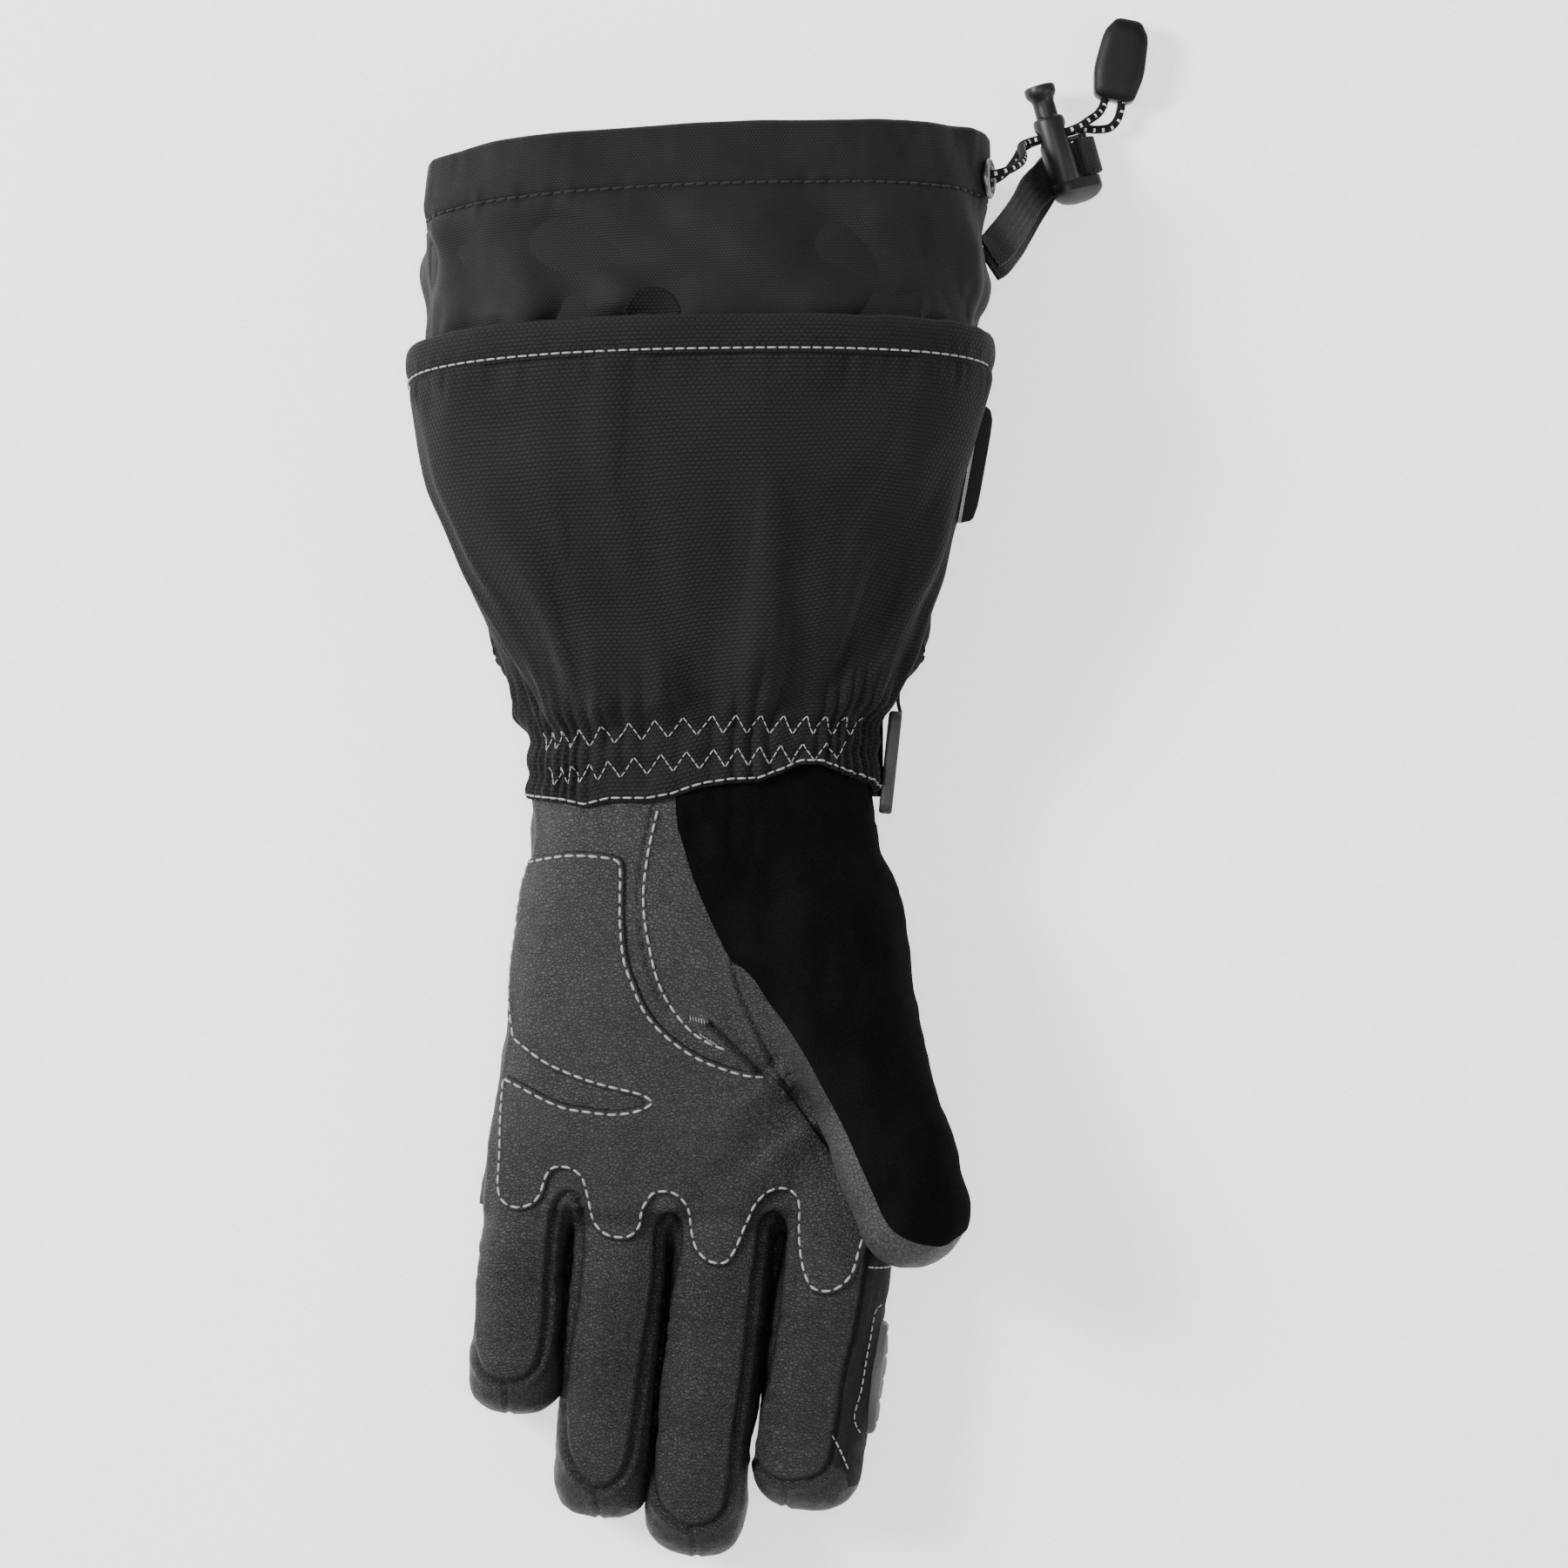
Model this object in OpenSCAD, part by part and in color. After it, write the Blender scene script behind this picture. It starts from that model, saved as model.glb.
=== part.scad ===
/* [Gauntlet] */
// Half width of the gauntlet at its hem
hem_a = 79; // [74:0.5:84]
// Half height of the gauntlet at its hem
hem_b = 36.1; // [30:0.1:40]
// Thickness of the woven outer shell
shell_t = 1.2; // [0.8:0.1:2]
// Thickness of the insulated lining
lining_t = 3; // [1.5:0.1:4]
// Thickness of the snow skirt cloth
skirt_t = 0.8; // [0.6:0.1:1.2]

/* [Hand] */
// Thickness of the leather
leather_t = 1.4; // [1:0.1:1.8]
// Thickness of the lining inside a finger
finger_lining_t = 1.9; // [1:0.1:2.5]
// Thickness of the palm overlay
overlay_t = 1.1; // [0.8:0.1:1.6]
// Thickness of the pad on the back of the hand
pad_t = 2.7; // [2:0.1:2.8]

/* [Bending] */
// Bend of a finger at its middle joint, in degrees
finger_bend = 60; // [30:1:60]
// Bend of a finger at its end joint, in degrees
end_bend = 42; // [20:1:42]
// Bend of the thumb at its joint, in degrees
thumb_bend = 40; // [20:1:40]

/* [Cord lock] */
// Diameter of the elastic cord
cord_d = 2.3; // [2:0.1:2.4]
// Travel of the lock's plunger
plunger_travel = 4; // [2:0.5:4]

/* [Hidden] */
$fn = 48;
gap = 0.2;

// Sections of the gauntlet and hand: [y, centre x, half width, centre z, half height]
GAUNT = [[40, 0.7, 50.5, 27.5, 25.5], [57, -0.1, 57.9, 29.5, 29.3],
  [76, -1.4, 64.9, 32.5, 32.3], [95, -3.4, 71.6, 34.5, 34.3],
  [110, -2.8, 74.5, 35.5, 35.3], [123.8, -1.7, 76.5, 36, 35.8]];
HEM = [[124, 0, hem_a - 0.7, 36.2, hem_b - 0.5], [128, 0, hem_a, 36.2, hem_b],
  [138, 0, hem_a, 36.2, hem_b], [141.5, 0, hem_a - 1, 36.2, hem_b - 1]];
SKIRT = [[127, 0, hem_a - 3.8, 36.2, hem_b - 3.8], [142, 0, 74.6, 36.2, 31.8],
  [156, 0.3, 76.4, 34, 32], [167, 0.8, 76.2, 33, 31.4]];
HAND = [[12.4, -0.3, 46, 25, 22], [-10, -0.3, 47.5, 24, 21],
  [-40, -1.5, 51, 22, 19], [-70, -3.2, 54, 19.5, 16.5],
  [-80, -4, 55, 18, 15], [-92, -5, 56, 15, 14]];
WRIST = [[12.8, -0.3, 46.2, 25.2, 22.2], [25, 0, 45.8, 26, 22.6],
  [39.6, 0.7, 50.2, 27.5, 25.2]];

function sg(v) = v < 0 ? -1 : 1;
function pw(v, e) = sg(v) * pow(abs(v), e);
// One point of a section at angle t, brought in by d, on a curve between an ellipse and a box
function sec_pt(s, t, d, e) = [s[1] + (s[2] - d) * pw(cos(t), e), s[0], s[3] + (s[4] - d) * pw(sin(t), e)];

// An open sleeve through the sections, wall between depths d0 and d1
module sleeve(secs, d0, d1, e = 0.86, N = 44) {
  M = len(secs);
  pts = concat([for (i = [0:M - 1], j = [0:N - 1]) sec_pt(secs[i], 360 * j / N, d0, e)],
    [for (i = [0:M - 1], j = [0:N - 1]) sec_pt(secs[i], 360 * j / N, d1, e)]);
  K = M * N;
  s = secs[M - 1][0] > secs[0][0] ? 1 : -1;
  f = concat(
    [for (i = [0:M - 2], j = [0:N - 1]) let(k = (j + 1) % N) for (q = [
      [i * N + j, i * N + k, (i + 1) * N + k], [i * N + j, (i + 1) * N + k, (i + 1) * N + j],
      [K + i * N + k, K + i * N + j, K + (i + 1) * N + k], [K + (i + 1) * N + k, K + i * N + j, K + (i + 1) * N + j]]) q],
    [for (j = [0:N - 1]) let(k = (j + 1) % N, a = 0, b = (M - 1) * N) for (q = [
      [a + k, a + j, K + a + j], [a + k, K + a + j, K + a + k],
      [b + j, b + k, K + b + j], [K + b + j, b + k, K + b + k]]) q]);
  polyhedron(points = pts, faces = s > 0 ? f : [for (q = f) [q[2], q[1], q[0]]], convexity = 6);
}

// A solid through the sections
module loft(secs, d = 0, e = 0.86, N = 44) {
  M = len(secs);
  pts = [for (i = [0:M - 1], j = [0:N - 1]) sec_pt(secs[i], 360 * j / N, d, e)];
  s = secs[M - 1][0] > secs[0][0] ? 1 : -1;
  f = concat([for (i = [0:M - 2], j = [0:N - 1]) let(k = (j + 1) % N) for (q = [
      [i * N + j, i * N + k, (i + 1) * N + k], [i * N + j, (i + 1) * N + k, (i + 1) * N + j]]) q],
    [[for (j = [N - 1:-1:0]) j], [for (j = [0:N - 1]) (M - 1) * N + j]]);
  polyhedron(points = pts, faces = s > 0 ? f : [for (q = f) [for (i = [len(q) - 1:-1:0]) q[i]]], convexity = 4);
}

// A part of a sleeve between angles t0 and t1
module sleeve_arc(secs, d0, d1, t0, t1, e = 0.86, N = 24) {
  M = len(secs);
  W = N + 1;
  pts = concat([for (i = [0:M - 1], j = [0:N]) sec_pt(secs[i], t0 + (t1 - t0) * j / N, d0, e)],
    [for (i = [0:M - 1], j = [0:N]) sec_pt(secs[i], t0 + (t1 - t0) * j / N, d1, e)]);
  K = M * W;
  s = secs[M - 1][0] > secs[0][0] ? 1 : -1;
  f = concat(
    [for (i = [0:M - 2], j = [0:N - 1]) for (q = [
      [i * W + j, i * W + j + 1, (i + 1) * W + j + 1], [i * W + j, (i + 1) * W + j + 1, (i + 1) * W + j],
      [K + i * W + j + 1, K + i * W + j, K + (i + 1) * W + j + 1], [K + (i + 1) * W + j + 1, K + i * W + j, K + (i + 1) * W + j]]) q],
    [for (j = [0:N - 1]) let(b = (M - 1) * W) for (q = [
      [j + 1, j, K + j], [j + 1, K + j, K + j + 1],
      [b + j, b + j + 1, K + b + j], [K + b + j, b + j + 1, K + b + j + 1]]) q],
    [for (i = [0:M - 2]) for (q = [
      [i * W, (i + 1) * W, K + i * W], [K + i * W, (i + 1) * W, K + (i + 1) * W],
      [(i + 1) * W + N, i * W + N, K + i * W + N], [(i + 1) * W + N, K + i * W + N, K + (i + 1) * W + N]]) q]);
  polyhedron(points = pts, faces = s > 0 ? f : [for (q = f) [q[2], q[1], q[0]]], convexity = 6);
}

// ---- gauntlet ----
module gauntlet_shell() color([0.07, 0.07, 0.08]) sleeve(GAUNT, 0, shell_t);
module gauntlet_hem() color([0.07, 0.07, 0.08]) sleeve(HEM, 0, 2.4);
module gauntlet_lining() color([0.12, 0.12, 0.13])
  sleeve([for (s = GAUNT) s[0] == 40 ? [40.2, s[1], s[2], s[3], s[4]] : s], shell_t + gap, shell_t + gap + lining_t);
module snow_skirt() color([0.1, 0.1, 0.11]) sleeve(SKIRT, 0, skirt_t);

// Rim of the tunnel: a fold over the top edge, lower on the left and higher on the palm side
function rim_y(t) = 185.5 + 4 * cos(t) + 4.5 * sin(t);
function rim_pt(t, d, y) = [1.2 + (75.6 - d) * pw(cos(t), 0.9), y, 31.8 + (30.2 - d) * pw(sin(t), 0.9)];
module drawcord_tunnel() color([0.1, 0.1, 0.11]) difference() {
  N = 72;
  prof = [[0, 0], [0, 1], [5.4, 1], [5.4, 0], [4.8, 0], [4.8, 0.95], [0.6, 0.95], [0.6, 0]];
  P = len(prof);
  pts = [for (j = [0:N - 1], q = prof) let(t = 360 * j / N) rim_pt(t, q[0], 167.4 + (rim_y(t) - 167.4) * q[1])];
  polyhedron(points = pts, faces = [for (j = [0:N - 1], i = [0:P - 1]) let(k = (j + 1) % N, m = (i + 1) % P)
    for (q = [[j * P + i, k * P + m, k * P + i], [j * P + i, j * P + m, k * P + m]]) q], convexity = 8);
  at_eyelet(eyelet_a) translate([0, 0, -3]) cylinder(r = 3.9, h = 6);
  at_eyelet(eyelet_b) translate([0, 0, -3]) cylinder(r = 3.9, h = 6);
}

// Angles of the two eyelets round the rim, and their height along the glove
eyelet_a = 9;
eyelet_b = -24;
eyelet_y = 178;
function eye_c(t) = [1.2 + 75.6 * pw(cos(t), 0.9), eyelet_y, 31.8 + 30.2 * pw(sin(t), 0.9)];
function eye_n(t) = let(n = eye_c(t + 2) - eye_c(t - 2)) atan2(-n[0], n[2]);
// The eyelet's own axis is along z, pointing out of the cloth
module at_eyelet(t) translate(eye_c(t)) rotate([0, 90 - eye_n(t), 0]) children();
module eyelet() color([0.3, 0.3, 0.31]) translate([0, 0, -0.4]) difference() {
  union() {
    translate([0, 0, 0.75]) cylinder(r = 5.5, h = 0.7);
    translate([0, 0, -1.7]) cylinder(r = 3.5, h = 2.5);
    translate([0, 0, -2.1]) cylinder(r = 5, h = 0.5);
  }
  translate([0, 0, -3]) cylinder(r = 2.9, h = 6);
}
module eyelet_palm() at_eyelet(eyelet_a) eyelet();
module eyelet_back() at_eyelet(eyelet_b) eyelet();

// A tube of n sides along the points p
function tan_at(p, i) = let(m = len(p) - 1, d = p[min(i + 1, m)] - p[max(i - 1, 0)]) d / norm(d);
module tube(p, d, n = 8, up = [0, 0, 1]) {
  M = len(p);
  pts = [for (i = [0:M - 1]) let(t = tan_at(p, i), u0 = cross(t, up), u = u0 / norm(u0), v = cross(u, t))
    for (j = [0:n - 1]) p[i] + d / 2 * (cos(360 * j / n) * u + sin(360 * j / n) * v)];
  polyhedron(points = pts, faces = concat(
    [for (i = [0:M - 2], j = [0:n - 1]) let(k = (j + 1) % n) for (q = [
      [i * n + j, i * n + k, (i + 1) * n + k], [i * n + j, (i + 1) * n + k, (i + 1) * n + j]]) q],
    [[for (j = [n - 1:-1:0]) j], [for (j = [0:n - 1]) (M - 1) * n + j]]), convexity = 8);
}
// Smooth points through a list of points
function cr(p, i, t) = let(m = len(p) - 1, a = p[max(i - 1, 0)], b = p[i], c = p[i + 1], d = p[min(i + 2, m)])
  0.5 * ((2 * b) + (c - a) * t + (2 * a - 5 * b + 4 * c - d) * t * t + (3 * b - a - 3 * c + d) * t * t * t);
function smooth(p, k = 4) = [for (i = [0:len(p) - 2], j = [0:k - 1]) cr(p, i, j / k), p[len(p) - 1]];

// Drawcord inside the tunnel, between the eyelets the long way round
module drawcord() color([0.05, 0.05, 0.05]) tube([for (j = [0:90]) let(t = eyelet_a + 8 + (360 - eyelet_a + eyelet_b - 16) * j / 90)
  rim_pt(t, 2.7, min(eyelet_y, rim_y(t) - 3.4))], cord_d, up = [0, 1, 0]);

// ---- cord lock, lying on its webbing beside the cuff ----
lock_c = [97.5, 187.8, 8];
lock_a = 15.8;
module at_lock() translate(lock_c) rotate([0, 0, lock_a]) children();
hole_y = 5.8;
STRAND_A = [[75.9, 179, 36.9], [79.2, 179.4, 37.2], [83, 180.8, 35.6], [86, 183.2, 31.2], [87, 185.8, 25],
  [86.8, 188.2, 18.4], [87.2, 190.2, 12.8], [89.3, 191.5, 9.8], [92.6, 192.5, 9.3], [96, 193.45, 9.3], [100, 194.6, 9.3],
  [103.2, 195.9, 9], [106, 197.9, 7.8], [108.4, 199.8, 5.8], [109.8, 201.8, 4.7], [110.44, 203.96, 4.4], [110.72, 205.4, 4.4], [111, 206.9, 4.4], [111.49, 209.36, 4.4]];
STRAND_B = [[72, 179, 18.9], [75.6, 179.2, 17.3], [79.5, 180.4, 15], [83, 183.2, 12], [85.6, 186.8, 9], [87.2, 189.6, 7.2],
  [89.6, 191.4, 6.7], [92.6, 192.5, 6.7], [96, 193.45, 6.7], [100, 194.6, 6.7], [104, 195.6, 6.4], [108.2, 195.6, 5.2],
  [111.8, 196.2, 4.4], [113.8, 198.2, 4.2], [114.7, 200.6, 4.3], [115.16, 203.04, 4.4], [115.44, 204.5, 4.4], [115.73, 206, 4.4], [116.2, 208.4, 4.4]];
module cord_strand_palm() color([0.05, 0.05, 0.05]) tube(smooth(STRAND_A, 3), cord_d);
module cord_strand_back() color([0.05, 0.05, 0.05]) tube(smooth(STRAND_B, 3), cord_d);

module lock_barrel() color([0.03, 0.03, 0.03]) at_lock() difference() {
  union() {
    translate([0, -8.6, 0]) rotate([-90, 0, 0]) cylinder(r = 4.4, h = 19.6);
    // foot, wide at the bottom
    hull() {
      translate([0, -11, 0]) rotate([-90, 0, 0]) cylinder(r = 4.4, h = 2.6, $fn = 32);
      translate([7.6, -11, -2.2]) rotate([-90, 0, 0]) cylinder(r = 1.9, h = 2.6, $fn = 32);
    }
    // bar for the webbing and its upper arm
    translate([7.9, -9, -2.2]) rotate([-90, 0, 0]) cylinder(r = 1.3, h = 13.4);
    translate([3, 3.5, -3.4]) cube([4.9, 0.9, 2.2]);
  }
  translate([0, -5, 0]) rotate([-90, 0, 0]) cylinder(r = 3.2, h = 20);
  translate([-6, hole_y, 0]) rotate([0, 90, 0]) cylinder(r = 2.75, h = 12);
}
module lock_plunger() color([0.04, 0.04, 0.04]) at_lock() difference() {
  union() {
    translate([0, 1.2, 0]) rotate([-90, 0, 0]) cylinder(r = 3.1, h = 16.8);
    translate([0, 16.2, 0]) rotate([-90, 0, 0]) cylinder(r1 = 3.1, r2 = 4.3, h = 2.2);
    translate([0, 18.4, 0]) rotate([-90, 0, 0]) cylinder(r = 4.3, h = 1.6);
  }
  // slot for the two strands, long enough for the travel
  translate([-4, hole_y - 1.6, -2.7]) cube([8, 3.2 + plunger_travel, 5.4]);
}
module lock_spring() color([0.5, 0.5, 0.5]) at_lock()
  tube([for (i = [0:60]) [2.3 * cos(24 * i), -4.5 + 5.2 * i / 60, 2.3 * sin(24 * i)]], 0.7, up = [0, 1, 0]);

// Pull end: a case with its cap, holding the knots of the strands
module pull_outline(o = 0) polygon([[-5.4 - o, -11 - o], [5.4 + o, -11 - o], [7 + o, -3], [6.2 + o, 7.5], [3.4 + o, 11.6 + o],
  [-3.4 - o, 11.6 + o], [-6.2 - o, 7.5], [-7 - o, -3]]);
module at_pull() translate([114.9, 214.3, 0.4]) rotate([0, 0, -11]) children();
module pull_end_body() color([0.03, 0.03, 0.03]) difference() {
  at_pull() linear_extrude(5.6) pull_outline();
  at_pull() translate([-4.2, -6, 1.4]) cube([8.4, 12.6, 5]);
  for (x = [-2.4, 2.4]) at_pull() translate([x, -13, 4]) rotate([-90, 0, 0]) cylinder(r = cord_d / 2 + 0.35, h = 12);
}
module pull_end_cap() color([0.05, 0.05, 0.05]) at_pull() {
  translate([0, 0, 5.8]) linear_extrude(1.6) pull_outline(-0.1);
  translate([0, 0, 7.4]) linear_extrude(1) pull_outline(-1.2);
  translate([-3.9, -5.7, 5.2]) cube([7.8, 12, 0.7]);
}

// A flat ribbon of width w and thickness h along points p, its width along vectors u
module ribbon(p, u, w, h) {
  M = len(p);
  pts = [for (i = [0:M - 1]) let(t = tan_at(p, i), n0 = cross(t, u[i]), n = n0 / norm(n0), v = cross(n, t))
    for (q = [[-1, -1], [1, -1], [1, 1], [-1, 1]]) p[i] + w / 2 * q[0] * v + h / 2 * q[1] * n];
  polyhedron(points = pts, faces = concat([for (i = [0:M - 2], j = [0:3]) let(k = (j + 1) % 4)
    for (q = [[i * 4 + j, i * 4 + k, (i + 1) * 4 + k], [i * 4 + j, (i + 1) * 4 + k, (i + 1) * 4 + j]]) [q[2], q[1], q[0]]],
    [[0, 1, 2, 3], [(M - 1) * 4 + 3, (M - 1) * 4 + 2, (M - 1) * 4 + 1, (M - 1) * 4]]), convexity = 8);
}
// Point at x = c across the lock and height z, in the lock's middle
function lk(c, z, y = -1.8) = [lock_c[0] + c * cos(lock_a) - y * sin(lock_a), lock_c[1] + c * sin(lock_a) + y * cos(lock_a), z];
TETHER = [[79.2, 160.5, 27], [82, 164, 24], [85.2, 168.6, 17.6], [88, 173.4, 10], [90.8, 178.6, 4.6], lk(-3, 2.6, -3.6), lk(0, 2.45), lk(3, 2.5), lk(4.9, 3.2),
  lk(5.5, 5.2), lk(6, 7.2), lk(7.9, 8.1), lk(9.8, 7.2), lk(10.5, 5.2), lk(10, 2.6), lk(8.4, 1.2), lk(5, 0.95), lk(0, 0.9), lk(-3.4, 0.95, -3.6),
  [90.6, 175.6, 2.2], [87.4, 169.6, 6.6], [84.4, 164.2, 13], [81.6, 160.2, 19], [79.4, 157.4, 22.8]];
module lock_tether() color([0.05, 0.05, 0.05]) ribbon(TETHER, [for (i = [0:23]) let(a = lock_a + (i < 6 ? 5 * (5 - i) : i > 17 ? 5 * (i - 18) : 0))
  [-sin(a), cos(a), 0]], 10, 1.1);

// Folded label sewn into the side seam
module side_tab() color([0.05, 0.05, 0.05]) for (z = [33.5, 34.7])
  translate([0, 0, z]) linear_extrude(0.9) polygon([[74.1, 118], [77.6, 116.2], [78.3, 112.6], [73.6, 86.3], [68.6, 85.2], [67.4, 86.6], [71.7, 108]]);

// ---- wrist ----
module wrist_gather() color([0.06, 0.06, 0.07]) sleeve(WRIST, 0, 1);
module wrist_elastic() color([0.2, 0.2, 0.2]) {
  sleeve([[17.5, -0.2, 46, 25.5, 22.35], [23.5, -0.1, 45.85, 25.9, 22.5]], 1.4, 2.2);
  sleeve([[27, 0.1, 46.4, 26.2, 22.95], [33, 0.4, 48.2, 26.8, 24]], 1.4, 2.2);
}
module wrist_lining() color([0.12, 0.12, 0.13]) sleeve(WRIST, 2.9, 4.9);
// Strap across the back of the wrist, up the thumb side, through the ring and back
STRAP = [[-30, 23.5, 1.4], [-15, 23.5, 1.4], [0, 23.5, 1.4], [15, 23.5, 1.4], [25, 23.5, 1.4], [34, 23.5, 2.2], [42, 23.5, 7], [46.6, 23.5, 14], [48.2, 23.5, 19]];
module wrist_strap() color([0.05, 0.05, 0.05]) ribbon(STRAP, [for (p = STRAP) [0, 1, 0]], 24, 1.6);
module strap_ring() color([0.12, 0.12, 0.12]) translate([49.1, 21, 26.3]) rotate([0, 0, -6.1]) difference() {
  translate([0, -14, -6.7]) cube([3.4, 28, 13.4]);
  translate([-1, -12.4, -3.8]) cube([6, 24.8, 7.6]);
}
module ring_anchor() color([0.05, 0.05, 0.05]) ribbon([[55.9, 50, 27.4], [55.4, 45, 26.9], [55.1, 40, 26.3], [54.95, 36.6, 26.3], [54.75, 33.8, 26.3], [53.7, 32.2, 26.3], [51.7, 31.9, 26.3]],
  [for (i = [0:6]) [0, 0, 1]], 6.4, 0.9);

// ---- hand ----
module palm_panel() color([0.16, 0.16, 0.165]) difference() {
  sleeve_arc(HAND, 0, leather_t, -8, 188, N = 30);
  thumb_void(leather_t + 0.3);
}
module back_panel() color([0.06, 0.06, 0.07]) sleeve_arc(HAND, 0, leather_t, 189, 351, N = 26);
module hand_lining() color([0.12, 0.12, 0.13]) {
  difference() {
    sleeve(HAND, leather_t + gap, leather_t + gap + lining_t);
    thumb_void(leather_t + gap + finger_lining_t);
  }
  for (f = FINGERS) finger_part(f, leather_t + 0.15, leather_t + 0.15 + finger_lining_t, f[3], f[4], 0, true);
}
// Flat pad the glove lies on when its palm is up
module back_pad() color([0.07, 0.07, 0.075]) linear_extrude(pad_t) offset(r = 9, $fn = 32) polygon([[-28, -2], [28, -2], [33, -40], [30, -66], [-36, -66], [-34, -30]]);
// Overlay of leather on the palm, its lower edge in four lobes
OVER = [[-48.5, -8], [-42, -4.8], [-24, -5.8], [-21.6, -8], [-21.6, -28], [-16, -46], [-4, -57], [10, -64.5], [21, -67.5],
  [30, -75], [42, -84], [44, -90.5], [-55, -90.5], [-54.5, -66], [-40, -71.5], [-20, -74.4], [-14, -70], [-25, -67], [-40, -63],
  [-50, -57], [-52.5, -44], [-51, -22]];
module palm_overlay() color([0.15, 0.15, 0.155]) difference() {
  intersection() {
    sleeve_arc(HAND, -overlay_t - 0.1, -0.1, 6, 174, N = 30);
    translate([0, 0, 10]) linear_extrude(60) polygon(OVER);
  }
  thumb_cone(-1.6, 12);
}
// Web between the finger roots, with a hole for each finger
module finger_webs() color([0.1, 0.1, 0.105]) difference() {
  translate([0, -92.3, 0]) rotate([90, 0, 0]) linear_extrude(2.2) offset(r = 12, $fn = 32) polygon([[-49, 13], [39.5, 13], [39.5, 16.6], [-49, 15]]);
  for (f = FINGERS) translate([f[1] - 3.4 * tan(f[2]), -91, f[0]]) rotate([90, 0, 0]) cylinder(r = f[0] - leather_t, h = 5);
}

// Fingers: [radius, x where y is -90, lean, root, middle joint, end joint, tip] with the last four as distances from y = -90
FINGERS = [[12.8, -48.3, 3.5, 6.8, 27, 48, 67.9], [12.8, -21.2, 4.6, 6.8, 40, 67.5, 96.3],
  [13.4, 7.9, 6.2, 6.8, 45, 75, 106.4], [15, 39.3, 7.6, 6.8, 44, 73, 94]];
module at_finger(f) translate([f[1], -90, f[0]]) rotate([0, 0, -f[2]]) children();
// Wedge of the fold at distance s: what is cut from the side nearer the palm, or from the far side
module fold(s, bend, side) let(h = bend / 2 + 1, g = 0.4, L = 60) translate([-30, 0, 0]) rotate([90, 0, 90]) linear_extrude(60)
  polygon(side > 0 ? [[-s - g, -30], [-s - g + L, -30], [-s - g + L, 30], [-s - g - 30 * tan(h), 30], [-s - g, 0]]
    : [[-s + g, -30], [-s + g - L, -30], [-s + g - L, 30], [-s + g + 30 * tan(h), 30], [-s + g, 0]]);
// Stretch of finger f between distances s0 and s1, wall between depths d0 and d1; the ends are cut for the folds
module finger_part(f, d0, d1, s0, s1, b0, is_root = false, is_tip = false) at_finger(f) {
  r = f[0];
  a = is_root ? s0 : s0 - 20;
  b = is_tip ? f[6] - r : s1 + 20;
  difference() {
    union() {
      translate([0, -a, 0]) rotate([90, 0, 0]) cylinder(r = r - d0, h = b - a);
      if (is_tip) translate([0, -b, 0]) sphere(r = r - d0);
    }
    translate([0, -a + 1, 0]) rotate([90, 0, 0]) cylinder(r = r - d1, h = b - a + (is_tip ? 1 : 2));
    if (is_tip) translate([0, -b, 0]) sphere(r = r - d1);
    if (!is_root) fold(s0, b0, 1);
    if (!is_tip) fold(s1, is_root ? finger_bend : end_bend, -1);
  }
}
module root_shell(i) color([0.14, 0.14, 0.145]) finger_part(FINGERS[i], 0, leather_t, FINGERS[i][3], FINGERS[i][4], 0, true);
module middle_shell(i) color([0.14, 0.14, 0.145]) finger_part(FINGERS[i], 0, leather_t, FINGERS[i][4], FINGERS[i][5], finger_bend);
module tip_shell(i) color([0.14, 0.14, 0.145]) finger_part(FINGERS[i], 0, leather_t, FINGERS[i][5], 0, end_bend, is_tip = true);
module middle_lining(i) color([0.12, 0.12, 0.13]) finger_part(FINGERS[i], leather_t + 0.15, leather_t + 0.15 + finger_lining_t, FINGERS[i][4], FINGERS[i][5], finger_bend);
module tip_lining(i) color([0.12, 0.12, 0.13]) finger_part(FINGERS[i], leather_t + 0.15, leather_t + 0.15 + finger_lining_t, FINGERS[i][5], 0, end_bend, is_tip = true);

// Rubber guard on the outer back of the index finger
module index_guard() color([0.25, 0.25, 0.25]) at_finger(FINGERS[3]) difference() {
  intersection() {
    translate([0, -71.4, 0]) rotate([-90, 0, 0]) cylinder(r = 17.6, h = 26);
    translate([5, -71.4, -13]) cube([20, 24.8, 15]);
  }
  translate([0, -80, 0]) rotate([-90, 0, 0]) cylinder(r = 15.3, h = 50);
  fold(FINGERS[3][4], finger_bend, 1);
}

// ---- thumb ----
thumb_h = [51.2, -85, 41.5];
thumb_b = [31, -26, 29];
thumb_rot = [-3, -45.6, 21.3];
thumb_r = 15;
module at_thumb() translate(thumb_h) rotate(thumb_rot) children();
// A cone from the thumb's base to past its joint, its radius brought in by d
module thumb_cone(d, past) {
  v = thumb_h - thumb_b;
  L = norm(v);
  translate(thumb_b) rotate([0, acos(v[2] / L), atan2(v[1], v[0])]) {
    cylinder(r1 = 21 - d, r2 = thumb_r - d, h = L);
    if (past > 0) translate([0, 0, L - 0.01]) cylinder(r = thumb_r - d, h = past);
    sphere(r = 21 - d);
  }
}
module thumb_void(d) intersection() {
  thumb_cone(d, 0);
  translate([-20, -72, 0]) cube([100, 80, 80]);
}
module thumb_base() color([0.15, 0.15, 0.155]) difference() {
  thumb_cone(0, 12);
  thumb_cone(leather_t, 16);
  loft(concat([[20, -0.3, 46, 25, 22]], HAND, [[-120, -5, 56, 15, 14]]), -0.3, N = 44);
  at_thumb() fold(0, thumb_bend, -1);
}
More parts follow.
